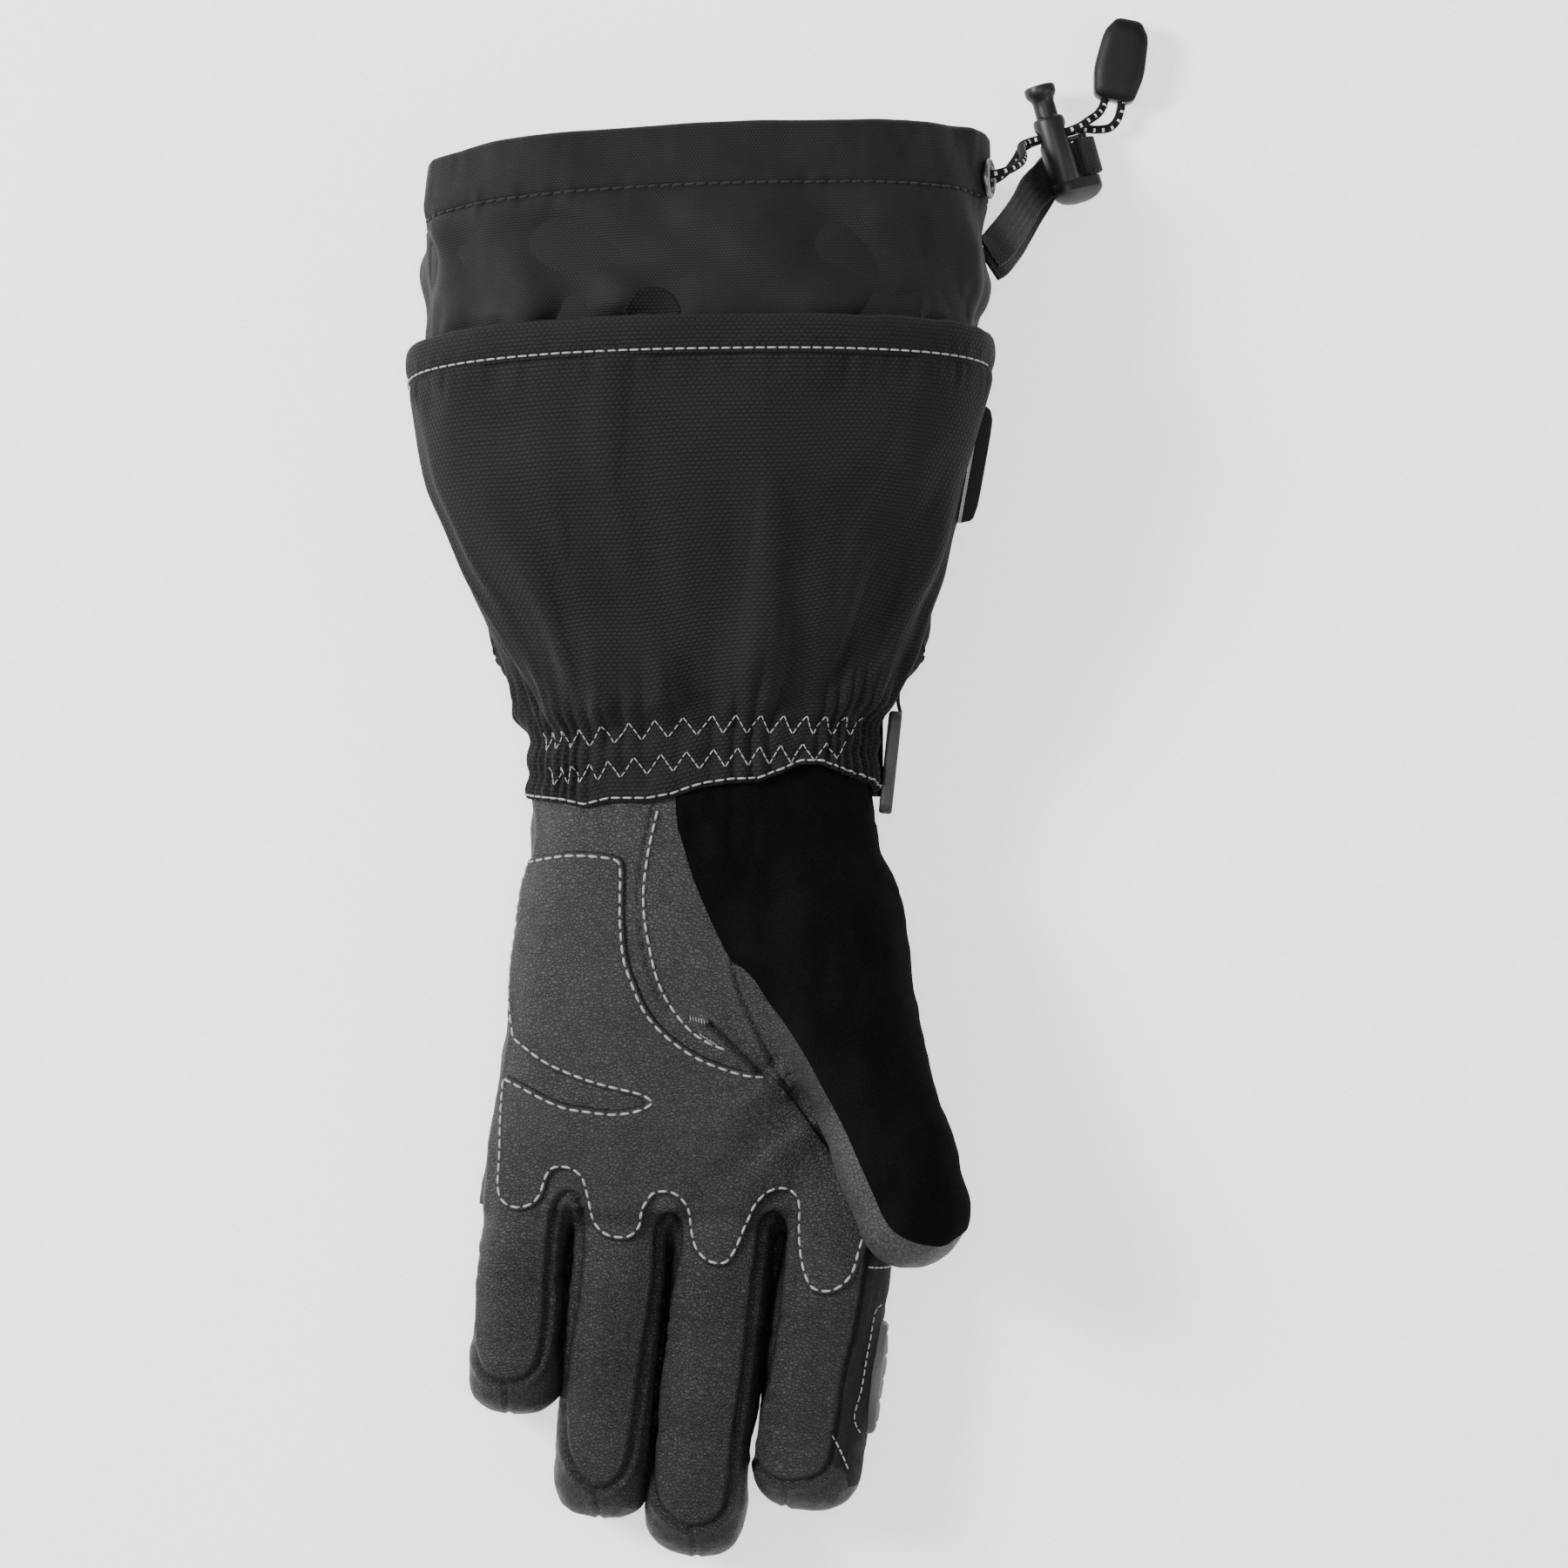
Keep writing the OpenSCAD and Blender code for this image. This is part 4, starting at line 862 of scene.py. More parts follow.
# black cloth beside the index finger's front panel
sx_ = np.interp(-HVd[:, 1], [110, 114, 118, 128.6, 145, 152, 160, 167, 174.5], [46, 44.4, 43.6, 42.1, 39.4, 37.5, 35.1, 37, 39.2])
strip_ = (HVd[:, 0] > sx_) & (HVd[:, 1] < -112) & (HVd[:, 1] > -176) & ~ONT
back = np.maximum(back, 1.0 * strip_)
# painted shade along the edge of the black strip beside the index finger
ds_ = np.abs(HVd[:, 0] - sx_)
dark = np.maximum(dark, 0.9 * np.exp(-(ds_ / 0.5) ** 2) * ((HVd[:, 0] > sx_ - 1.5) & (HVd[:, 1] < -112) & (HVd[:, 1] > -176) & ~ONT & (HVd[:, 2] > 14)))
attrs = {"dark": dark, "front": front, "back": back}
# soft shade where the fingers crease
for k_, yc_, wd_, am_ in ((0, -120, 6, 0.24), (1, -143, 5.5, 0.28), (2, -124, 7, 0.24), (2, -158, 6, 0.14), (3, -130, 7, 0.18), (3, -157, 5, 0.14)):
    attrs["dark"] = np.maximum(attrs["dark"], am_ * np.exp(-((HVd[:, 1] - yc_) / wd_) ** 2) * (fi == k_) * ~ONT * (HN[:, 2] > 0.1))
C = HVd[HF].mean(1)
LAB = labels_of(C)
for lab, V, F, N, A, _ in split(HVd, HF, HNd, LAB, attrs):
    nm = {"palm": "hand_shell", "thumb": "thumb_shell"}.get(lab, lab.replace("_A", "_lower").replace("_B", "_end"))
    o = make(nm, V, F, M_THUMB if lab == "thumb" else M_PALM, normals=N, attrs=A)
    attach(o, lab)
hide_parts("palm_panel", "back_panel", "hand_lining", "finger_webs", "thumb_base", "thumb_base_lining")
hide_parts("thumb_tip", "thumb_tip_lining")
for k in KEYS:
    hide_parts(k + "_root", k + "_middle", k + "_middle_lining")
    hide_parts(k + "_tip", k + "_tip_lining")

def place_sheet(name, outline, mat, slot, tree, f, replaces=(), thumb_ok=False, attrs_extra=None, **kw):
    V, F, N, A = sheet_on(outline, tree, f, **kw)
    lab = labels_of(V[F].mean(1), thumb_ok)
    if not thumb_ok: lab[:] = "palm"
    made = []
    for l, v, fc, n, a, _ in split(V, F, N, lab, A):
        o = make(name + ("" if l == "palm" else "_" + l), v, fc, mat, normals=n, attrs=a)
        attach(o, l)
        made.append(o)
    if replaces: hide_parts(*replaces)
    return made
# ------------------------------------------------------------------ floor
floor = make("floor", np.array([[-900, -900, -0.6], [900, -900, -0.6], [900, 900, -0.6], [-900, 900, -0.6]], float), [[0, 1, 2, 3]], plastic("floor_mat", grey(0.7), 0.9, 0.02))
fb_ = floor.data.materials[0].node_tree.nodes["Principled BSDF"].inputs
fb_["Emission Color"].default_value = (0.97, 0.98, 1.0, 1); fb_["Emission Strength"].default_value = 1.2

# ------------------------------------------------------------------ lines of the palm (mm)
HEEL = [(-47, -6.3), (-35.7, -4.2), (-23.9, -5.0), (-21.9, -7.4), (-21.9, -15), (-21.9, -22.3), (-21.1, -31.5), (-19.3, -37.4), (-16.2, -44.9), (-12.5, -50.1), (-7.3, -54.8), (-1.2, -58.8), (4.7, -61.3), (10.8, -63.2), (16.7, -63.9)]
HEEL_LEFT = [(-47, -6.3), (-49.1, -12.7), (-51, -20.9), (-51.9, -29.8), (-51.9, -37.4), (-51.7, -46.5), (-50.8, -53.8)]
HEEL_LOW = [(-50.8, -53.8), (-43.2, -59.5), (-35.7, -63), (-28.2, -65.6), (-20.7, -67.4), (-16.2, -68.6), (-13.4, -70.5)]
CRESCENT = [(-53.6, -64.9), (-49.1, -67), (-43.2, -70), (-37.1, -72.4), (-31.3, -73.3), (-24.4, -74), (-18.6, -73.3), (-15, -71.9), (-13.4, -70.5)]
OVER_LEFT = [(-53.6, -64.9), (-54.5, -75), (-55, -86.2), (-55.5, -93.5), (-55, -97.3)]
LOBES = [(-55, -97.3), (-53.1, -99.2), (-50.1, -99.9), (-46.5, -98.7), (-44.2, -95.9), (-43, -92.1), (-41.1, -89.1), (-38.1, -88.4), (-35.2, -89.1), (-32.7, -91.4), (-31.5, -95.4), (-30.3, -100.8), (-28.9, -104.8), (-26.1, -107.4), (-22.3, -108.1), (-19.5, -107.4), (-17.6, -104.8), (-16.9, -100.8), (-15.3, -97.8), (-13.2, -95.4), (-8.9, -95.2), (-5.9, -97.1), (-3.8, -100.3), (-3.1, -104.3), (-1.9, -110.4), (0.5, -113.7), (3.1, -114.9), (6.1, -114.7), (8.2, -111.9), (9.9, -108.1), (11.8, -103.2), (13.9, -98.9), (17.2, -95.4), (20.9, -94.2), (24.2, -95.2), (26.1, -98), (26.6, -102.9), (26.6, -109), (27.5, -116.3), (29.4, -121), (32.2, -122.2), (35, -122), (38.1, -120.1), (40.4, -116.8), (41.8, -111.9), (43, -107.9)]
UNDER = [(21, -67.7), (30, -80), (40, -95)]
THUMB_SEAM = [(-11.8, 8.2), (-13.4, 1.6), (-14.8, -5.6), (-15.7, -13.6), (-15.5, -20.9), (-14.3, -28.2), (-12.5, -36.2), (-9.9, -42.5), (-6.3, -47.9), (-2.6, -51.9), (1.9, -54.8), (6.3, -56.6)]
SUEDE = [(-6.8, 12), (-6.4, 4), (-5.2, -0.2), (-3.1, -7.5), (-0.5, -14.6), (3.8, -24.4), (7.3, -31.3), (8.6, -33), (10.8, -34.1), (14.3, -37.6), (18.1, -43.5), (22.6, -49.3), (28, -57.8), (32.4, -65.8), (37.8, -75.9), (41.8, -84.8), (45.8, -93.8), (48.6, -100.1), (51.2, -103.6), (55.7, -106.2), (61.1, -107.6), (64.9, -107.6), (68.4, -105.5)]
THUMB_STRIP = [(8.2, -32.7), (9.4, -39), (12.7, -47), (16.2, -54.3), (19.7, -61.3), (23.5, -67.7)]

def lay(pts, tree, f, lift, step=0.7, corners=()):
    L = smooth_line(pts, step=step, corners=corners)
    P, N = surf(L, tree, f)
    return P + N * lift, N

# the overlay of the palm, its fingers' lobes and the crescent left open
seq, corner = [], []
for part in (HEEL, UNDER, LOBES[::-1], OVER_LEFT[::-1][1:], CRESCENT[1:], HEEL_LOW[::-1][1:], HEEL_LEFT[::-1][1:-1]):
    seq += part
for c in ((-47, -6.3), (-13.4, -70.5), (-53.6, -64.9), (-50.8, -53.8), (43, -107.9)):
    corner.append(seq.index(c))
OUT = smooth_line(seq, closed=True, step=0.8, corners=tuple(corner))
place_sheet("palm_overlay_v", OUT, M_OVER, "palm_leather", PTREE, f_body, ("palm_overlay",), out=1.25, height=1.05, spacing=1.3)
for pts, co in ((HEEL, ()), (LOBES, ()), (OVER_LEFT, ()), (CRESCENT, ()), (HEEL_LOW, ()), (HEEL_LEFT, ())):
    P, N = lay(pts, PTREE, f_body, 0.82)
    if pts is HEEL: m = f_thumb(P) > 1.0; P, N = P[m], N[m]
    add_stitches("palm", capsule_run(P, N, r=0.36))
# thumb gusset seam, with the bar tack at its end
P, N = lay(THUMB_SEAM, TREE, f_all, 0.02)
add_stitches("palm", capsule_run(P, N, r=0.34))
for k in range(7):
    c = np.array([-3.2 + 0.75 * k, -48.0 - 0.16 * k])
    P, N = lay([c + (-0.15, 0.75), c + (0.1, -0.75)], TREE, f_all, 0.1, step=0.4)
    add_stitches("palm", capsule_run(P, N, pitch=1.6, length=1.3, r=0.13))
for k in range(6):
    c = np.array([-0.6 + 0.85 * k, -52.6 - 0.55 * k])
    P, N = lay([c + (-0.1, 0.5), c + (0.5, -0.35)], TREE, f_all, 0.1, step=0.3)
    add_stitches("palm", capsule_run(P, N, pitch=1.1, length=1.0, r=0.13))

# suede over the thumb, carried round its outer side
XRs = lambda y: float(np.interp(y, Yb, XR))
side = [(XRs(y) + 7.5, y) for y in (-101, -90, -78, -66, -54, -42, -30, -18, -6, 4, 12, 18, 21.5)]
SU = smooth_line(SUEDE + side + [(44, 19.5), (36, 21.5), (29, 23.2), (22, 22.6), (16, 20.2), (8, 18.6), (0, 17.4), (-5.6, 14.6)], closed=True, step=0.9)
place_sheet("suede_v", SU, M_SUEDE, "suede", TREE, f_all, ("thumb_suede",), thumb_ok=True, out=0.3, height=0.75, spacing=1.4, dip=0.0)

# ------------------------------------------------------------------ cuff surfaces
def pw(v, e): return np.sign(v) * np.abs(v) ** e
def sections(rows): return smooth_line([tuple(map(float, r)) for r in rows], step=1.0)
def even_angles(n, a=66.0, b=32.0, e=0.86):
    t = np.linspace(-90, 270, 6001)
    x, z = a * pw(np.cos(np.radians(t)), e), b * pw(np.sin(np.radians(t)), e)
    L = np.concatenate([[0], np.cumsum(np.hypot(np.diff(x), np.diff(z)))])
    return np.interp(np.linspace(0, L[-1], n + 1), L, t)
def sec_base(S, Y, T, e=0.86):
    cx, a, cz, b = (np.interp(Y, S[:, 0], S[:, k]) for k in (1, 2, 3, 4))
    c, s = np.cos(np.radians(T)), np.sin(np.radians(T))
    x, z = pw(c, e), pw(s, e)
    n = 2 / e
    nx, nz = np.sign(x) * np.abs(x) ** (n - 1) / a, np.sign(z) * np.abs(z) ** (n - 1) / b
    l = np.maximum(np.hypot(nx, nz), 1e-9)
    P = np.stack([cx + a * x, Y + 0 * x, cz + b * z], -1)
    return P, np.stack([nx / l, 0 * nx, nz / l], -1)
def arc_u(S, y, T, e=0.86):
    """Length round the section from its palm middle."""
    P, _ = sec_base(S, np.full(len(T), y), T, e)
    L = np.concatenate([[0], np.cumsum(np.linalg.norm(np.diff(P, axis=0), axis=1))])
    return L - np.interp(90, T, L)
NU = 560
TT_ = even_angles(NU)
def sleeve_mesh(S, Y, off, e=0.86, flip=False):
    """Rows of points: Y and off are (rows, NU + 1)."""
    T = np.broadcast_to(TT_, Y.shape)
    B, N = sec_base(S, Y, T, e)
    P = B + N * off[..., None]
    U = np.stack([arc_u(S, float(r.mean()), TT_, e) for r in Y])
    seg = np.linalg.norm(np.diff(P, axis=0), axis=2).mean(1)
    W = np.concatenate([[0], np.cumsum(seg)])
    uv = np.stack([U, np.broadcast_to(W[:, None], U.shape)], -1).reshape(-1, 2)
    P = np.concatenate([P[..., :2], np.where(P[..., 2:] < 1.8, 0.2 + 1.6 * np.exp((np.minimum(P[..., 2:], 1.8) - 1.8) / 1.6), P[..., 2:])], -1)
    V = P.reshape(-1, 3)
    n = Y.shape[1]
    F = grid_faces(n, Y.shape[0], wrap=False)
    VN = vertex_normals(V, F).reshape(P.shape)
    # the two ends of each row are one point of the cloth
    m = VN[:, 0] + VN[:, -1]
    VN[:, 0] = VN[:, -1] = m / np.linalg.norm(m, axis=1)[:, None]
    want = (VN[0] * N[0]).sum() > 0
    if want == flip:
        F = F[:, ::-1]; VN = -VN
    return V, F, VN.reshape(-1, 3), uv

GA = sections([[4, -0.4, 47.4, 25, 23.6], [12, -0.3, 47.6, 25.2, 23.8], [20, -0.2, 47.6, 25.8, 24.4], [27, 0.1, 47.4, 26.2, 24.4], [33, 0.5, 48.2, 26.8, 25.0],
  [40, 0.7, 50.3, 27.6, 26.0], [57, -0.1, 57.9, 29.5, 29.3], [76, -1.4, 64.9, 32.5, 32.3], [95, -3.0, 71.6, 34.5, 34.3], [110, -2.4, 75.4, 35.6, 35.4], [123.8, -0.9, 77.3, 36.1, 35.7], [136, -0.4, 77.6, 36.2, 35.4]])
WRIST_SEAM = np.array([(-50, 12.4), (-46.1, 12), (-35, 11), (-28.2, 9.6), (-21.4, 11.3), (-11.3, 11.3), (-5.6, 12.5), (0.9, 15.5), (5.6, 16.4), (12.2, 16.7), (17.9, 19), (23.5, 21.4), (29.1, 21.4), (34.8, 19.3), (44.4, 16), (50, 15)])
def seam_y(T):
    x = 46 * np.cos(np.radians(T))
    front = np.interp(x, WRIST_SEAM[:, 0], WRIST_SEAM[:, 1])
    k = sstep(-0.05, 0.35, np.sin(np.radians(T)))
    return front * k + (13.2 + 0.02 * x) * (1 - k)
def hem_y(T):
    c, s = np.cos(np.radians(T)), np.sin(np.radians(T))
    return 123.5 + 1.75 * c + 5.1 * np.maximum(s, 0) ** 0.8
def row_y(T, k):
    x = 46 * np.cos(np.radians(T))
    return np.interp(x, (-46, -32, 3, 37, 46), ((26, 27, 31, 30.6, 30), (16.8, 17.4, 21.9, 24.2, 23))[k])
def gaunt_off(T, Y):
    """How far the cloth stands off its section: gathers at the wrist, puffs above, long folds to the hem."""
    T, Y = np.broadcast_arrays(T, Y)
    c, s = np.cos(np.radians(T)), np.sin(np.radians(T))
    u = 50 * np.radians(T - 90) * (1.0 - 0.12 * s)      # arc near the wrist
    z = 0 * u
    g = np.zeros(T.shape)
    # gathers
    ph = u / 5.4 * 2 * np.pi + 3.0 * noise(np.stack([u / 15, Y / 26, z], -1), 3)
    amp = sstep(9, 13, Y) * (1 - sstep(33, 52, Y)) * (0.62 + 0.5 * noise(np.stack([u / 11, Y / 14, z + 4], -1), 5))
    side = 1 + 0.6 * sstep(0.55, 0.9, np.abs(c))
    g += 0.78 * amp * side * (np.abs(np.sin(ph / 2)) * 2 - 1.1)
    slant = noise(np.stack([(u + 0.5 * (Y - 20)) / 3.2, Y / 16, z + 9], -1), 8)
    g += 0.45 * sstep(10, 14, Y) * (1 - sstep(34, 46, Y)) * slant
    # the two rows of elastic pull the cloth in
    for k in (0, 1):
        d = Y - row_y(T, k)
        g -= 0.9 * np.exp(-(d / 2.3) ** 2)
    # puffs just above the upper row, steep towards the wrist
    d = Y - row_y(T, 0)
    pf = noise(np.stack([u / 10.5, z + 0.3, z], -1), 13) * 0.75 + 0.55 * noise(np.stack([u / 6.0, Y / 25, z + 2], -1), 15)
    e = sstep(1.5, 7.5, d) * (1 - sstep(9, 34, d))
    g += e * (1.6 + 3.4 * pf)
    # long folds
    q = u + 0.32 * (Y - 45) * np.sign(u) * sstep(0, 20, np.abs(u))
    h = Y - 45
    w = 12 + 0.16 * np.maximum(h, 0)
    lf = noise(np.stack([q / w, Y / 60, z + 7], -1), 17) + 0.45 * noise(np.stack([q / (w * 0.5), Y / 45, z + 7], -1), 19)
    lf = lf + 0.5 * np.abs(lf)
    g += 3.4 * lf * sstep(36, 50, Y) * (1 - 0.7 * sstep(70, 112, Y))
    g += 2.0 * fbm(np.stack([u / 34, Y / 30, z + 5], -1), 23, 2) * sstep(40, 60, Y) * (1 - sstep(112, 124, Y))
    # puckers under the hem's stitches
    hs = Y - hem_y(T)
    uu = 78 * np.radians(T)
    g += 0.35 * np.exp(-((hs + 3) / 4.0) ** 2) * noise(np.stack([uu / 3.4, z, z], -1), 29)
    g -= 0.35 * np.exp(-(hs / 1.4) ** 2)
    g += 0.5 * np.exp(-((hs + 7) / 6) ** 2) * noise(np.stack([uu / 14, z, z], -1), 33)
    return g
def gaunt_at(T, Y, lift=0.0):
    B, N = sec_base(GA, Y, T)
    return B + N * (gaunt_off(T, Y) + lift)[..., None], N

def blend_wrist(o):
    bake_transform(o)
    return o
nv = 150
v = np.linspace(0, 1, nv)[:, None]
y0, y1 = seam_y(TT_)[None] - 1.0, hem_y(TT_)[None] + 2.0
Y = y0 + (y1 - y0) * v
off = gaunt_off(TT_[None], Y)
# the lower edge turns under
turn = np.array([[0.9, -1.6], [0.25, -1.5], [-0.25, -0.9], [-0.1, -0.3]])
Yt = y0 + turn[:, :1]; ot = off[:1] + turn[:, 1:]
V, F, N, UV = sleeve_mesh(GA, np.concatenate([Yt, Y]), np.concatenate([ot, off]))
yy = V[:, 1]
painted_shade = np.zeros(len(V))
gq = gaunt_off(np.broadcast_to(TT_, Y.shape), Y)
# painted shade where the cloth is pulled in (gathers, elastic rows) and under the turned-in lower edge
painted_shade[4 * (NU + 1):] = np.clip((np.clip(-gq, 0, 2) * 0.22 * (Y < 40)).ravel(), 0, 0.5)
painted_shade[:6 * (NU + 1)] = 0.6
FY = V[F][:, :, 1].mean(1)
lab = np.where(FY > 39, "cuff", "wrist").astype(object)
for l, v_, f_, n_, a_, uv_ in split(V, F, N, lab, {"dark": painted_shade}, UV):
    o = make("gauntlet_cloth" if l == "cuff" else "wrist_cloth", v_, f_, M_CUFF if l == "cuff" else M_CUFF, normals=n_, attrs=a_, uv=uv_)
    if l == "cuff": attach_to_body(o, "gauntlet"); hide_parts("gauntlet_shell")
    else: blend_wrist(o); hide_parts("wrist_gather", "wrist_elastic")

def dashes(P, N, key, pitch=3.4, length=2.45, r=0.34, lift=0.12):
    add_stitches(key, capsule_run(P, N, pitch=pitch, length=length, r=r, lift=lift))
def cuff_line(T, Y, lift=0.1):
    return gaunt_at(np.asarray(T, float), np.asarray(Y, float), lift)
# seam of cloth to leather
T = np.linspace(-8, 190, 420)
P, N = cuff_line(T, seam_y(T), 0.12)
dashes(P, N, "wrist", pitch=3.2, r=0.29)
T = np.linspace(190, 352, 340)
P, N = cuff_line(T, seam_y(T), 0.12)
dashes(P, N, "wrist", pitch=3.2, r=0.29)
# zigzag rows
def x_to_T(x):
    t = np.linspace(6, 174, 800)
    B, _ = sec_base(GA, np.full(800, 25.0), t)
    return np.interp(-np.asarray(x, float), -B[:, 0], t)
PEAKS = [[-43.2, -40.6, -37.6, -33.4, -27, -19.6, -12.9, -5.4, 2.3, 8.5, 15, 21, 27, 32, 37.3, 41.6], [-41, -37.6, -34.6, -30, -25, -18, -10.8, -4, 3.2, 9.6, 15.4, 21, 27, 33.4, 38.8]]
for k, pk in enumerate(PEAKS):
    zz = []
    for i, x in enumerate(pk):
        zz.append((x, 2.5))
        if i < len(pk) - 1: zz.append(((x + pk[i + 1]) / 2, -2.5))
    for (xa, ya), (xb, yb) in zip(zz[:-1], zz[1:]):
        m = 8
        xs, ysg = np.linspace(xa, xb, m), np.linspace(ya, yb, m)
        T = x_to_T(xs)
        P, N = cuff_line(T, row_y(T, k) + ysg, 0.1)
        dashes(P, N, "wrist", pitch=2.15, length=1.55, r=0.175)
    # on the back of the wrist the rows go on, evenly
    T = np.arange(188, 352, 3.3)
    for i in range(len(T) - 1):
        t = np.linspace(T[i], T[i + 1], 6)
        a = 2.4 if i % 2 else -2.4
        P, N = cuff_line(t, row_y(t, k) + np.linspace(a, -a, 6), 0.1)
        dashes(P, N, "wrist", pitch=2.4, length=2.05, r=0.24)

# hem: a folded band of the same cloth
prof = [(-1.2, -0.9), (-0.8, -0.1), (-0.2, 0.35), (0.4, 0.6), (1.1, 0.95), (1.9, 1.3), (3, 1.6), (4.4, 1.75), (5.8, 1.75), (7.2, 1.6), (8.3, 1.3), (9.1, 0.8), (9.6, 0.1), (9.7, -0.8), (9.4, -1.6), (8.6, -2.3), (7, -2.8), (4, -3.1), (1, -3.2), (-3, -3.2)]
pr = smooth_line(prof, step=0.45)
T = TT_[None]
u = 78 * np.radians(T)
bulk = sstep(0.5, 3, pr[:, :1]) * (pr[:, 1:] > -1)
Y = hem_y(T) + pr[:, :1] + 0.25 * noise(np.stack([u / 9, 0 * u, 0 * u], -1), 3) * sstep(4, 9, pr[:, :1])
off = pr[:, 1:] + bulk * (0.35 * noise(np.stack([u / 3.6 + 0 * pr[:, :1], pr[:, :1] / 9 + 0 * u, 0 * u + 0 * pr[:, :1]], -1), 41) * np.exp(-((pr[:, :1] - 1.5) / 2.5) ** 2) + 0.3 * noise(np.stack([u / 13 + 0 * pr[:, :1], pr[:, :1] / 8 + 0 * u, 0 * u + 0 * pr[:, :1]], -1), 43))
V, F, N, UV = sleeve_mesh(GA, Y, off)
# the dark attribute is painted shade in the crease where the band's lower edge tucks down
hem = make("hem_band", V, F, M_CUFF, normals=N, uv=UV, attrs={"dark": np.repeat(0.6 * np.exp(-((pr[:, 0] + 0.9) / 0.5) ** 2) * (pr[:, 1] > -1.2), NU + 1)})
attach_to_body(hem, "gauntlet"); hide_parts("gauntlet_hem")
T = np.linspace(-4, 184, 900)
B, N = sec_base(GA, hem_y(T) + 0.55, T)
dashes(B + N * 0.7, N, "gauntlet", pitch=3.0, length=2.4, r=0.28)
T = np.linspace(184, 356, 700)
B, N = sec_base(GA, hem_y(T) + 0.55, T)
dashes(B + N * 0.7, N, "gauntlet", pitch=3.0, length=2.4, r=0.28)
for t0 in (2.5, 177.5):
    for k in range(5):
        T = np.full(6, t0 + (0.5 * k if t0 < 90 else -0.5 * k)); Yk = hem_y(T) + np.linspace(-1.2, 1.4, 6)
        B, N = sec_base(GA, Yk, T)
        dashes(B + N * 0.95, N, "gauntlet", pitch=2.6, length=2.4, r=0.22)

# ------------------------------------------------------------------ snow skirt with its tunnel
SK = sections([[118, 0, 74.4, 36.2, 31.4], [130, 0, 74.4, 36.2, 31.6], [140, 0.2, 75.2, 36, 32.2], [148, 0.4, 76.2, 35, 32.4], [156, 0.5, 76.4, 34, 32], [167, 0.9, 76.3, 33, 31.4], [178, 1.3, 75.8, 32, 30.6], [190, 1.4, 74.8, 31.8, 30.2], [200, 1.4, 74.2, 31.8, 29.8]])
def rim_y(T):
    c, s = np.cos(np.radians(T)), np.sin(np.radians(T))
    return 185.5 + 4 * c + 4.5 * s + 0.35 * noise(np.stack([T / 17, 0 * T, 0 * T], -1), 3)
def tun_y(T):
    c, s = np.cos(np.radians(T)), np.sin(np.radians(T))
    return 168.1 + 3.4 * c + 5.9 * np.maximum(s, 0) ** 0.8 * 0.9
def skirt_off(T, Y):
    T, Y = np.broadcast_arrays(T, Y)
    u = 76 * np.radians(T - 90) * 0.86
    z = 0 * u
    a = (u * 0.86 + Y * 0.5)
    b = (-u * 0.5 + Y * 0.86)
    a2 = (u * 0.8 - Y * 0.6)
    body = sstep(126, 136, Y) * (1 - sstep(-10, 2, Y - tun_y(T)) * 0.72)
    g = body * (3.6 * noise(np.stack([a / 26, b / 15, z], -1), 51) + 2.0 * noise(np.stack([a2 / 13, b / 22, z + 3], -1), 53) + 0.5 * noise(np.stack([u / 8, Y / 12, z + 5], -1), 55))
    # gathers that run up from the hem
    hs = Y - hem_y(T) - 9
    g += 2.4 * (1 - sstep(0, 17, hs)) * sstep(-8, 0, hs) * noise(np.stack([(u + 0.4 * hs) / 10, hs / 30, z], -1), 57)
    g -= 1.0 * (1 - sstep(-1, 5, hs))
    # tunnel seam and the puckers beside it
    d = Y - tun_y(T)
    g -= 0.75 * np.exp(-(d / 0.9) ** 2)
    g += 0.45 * np.exp(-(np.abs(d) / 3.2) ** 1.5) * noise(np.stack([u / 3.2, z, z], -1), 59)
    g += 0.5 * sstep(1, 5, d)
    g += 0.55 * sstep(2, 8, d) * noise(np.stack([u / 12, Y / 14, z], -1), 61)
    g += 0.22 * sstep(2, 8, d) * noise(np.stack([u / 4, Y / 10, z], -1), 63)
    for t0 in (7.8, -23.0):
        dt = (T - t0 + 180) % 360 - 180
        m = np.exp(-(((dt * 1.1) ** 2 + (Y - 178) ** 2) / 64.0))
        g = g * (1 - m) + 0.5 * m
    return g
nv = 110
v = np.linspace(0, 1, nv)[:, None]
T = TT_[None]
yr = rim_y(T)
y0 = hem_y(T) - 1.0
Yo = y0 + (yr - 1.4 - y0) * v
oo = skirt_off(T, Yo)
a = np.linspace(15, 165, 9)[:, None]
top = oo[-1:]
Yr = yr - 1.4 + 1.4 * np.sin(np.radians(a)) + 0.0 * top
orr = top - 1.6 + 1.6 * np.cos(np.radians(a))
di = np.array([1.5, 3.5, 6, 8.5, 11, 13.5, 16, 19, 24, 32, 42, 52])[:, None]
Yi = yr - 1.4 - di * (yr - 133) / 52.0
oi = top - 3.2 - 1.6 * sstep(0, 4, di) * (1 - sstep(13, 17, di)) + 1.3 * sstep(15, 19, di)
oi = np.where(di > 17, -2.3, oi)
V, F, N, UV = sleeve_mesh(SK, np.concatenate([Yo, Yr, Yi]), np.concatenate([oo, orr, oi]))
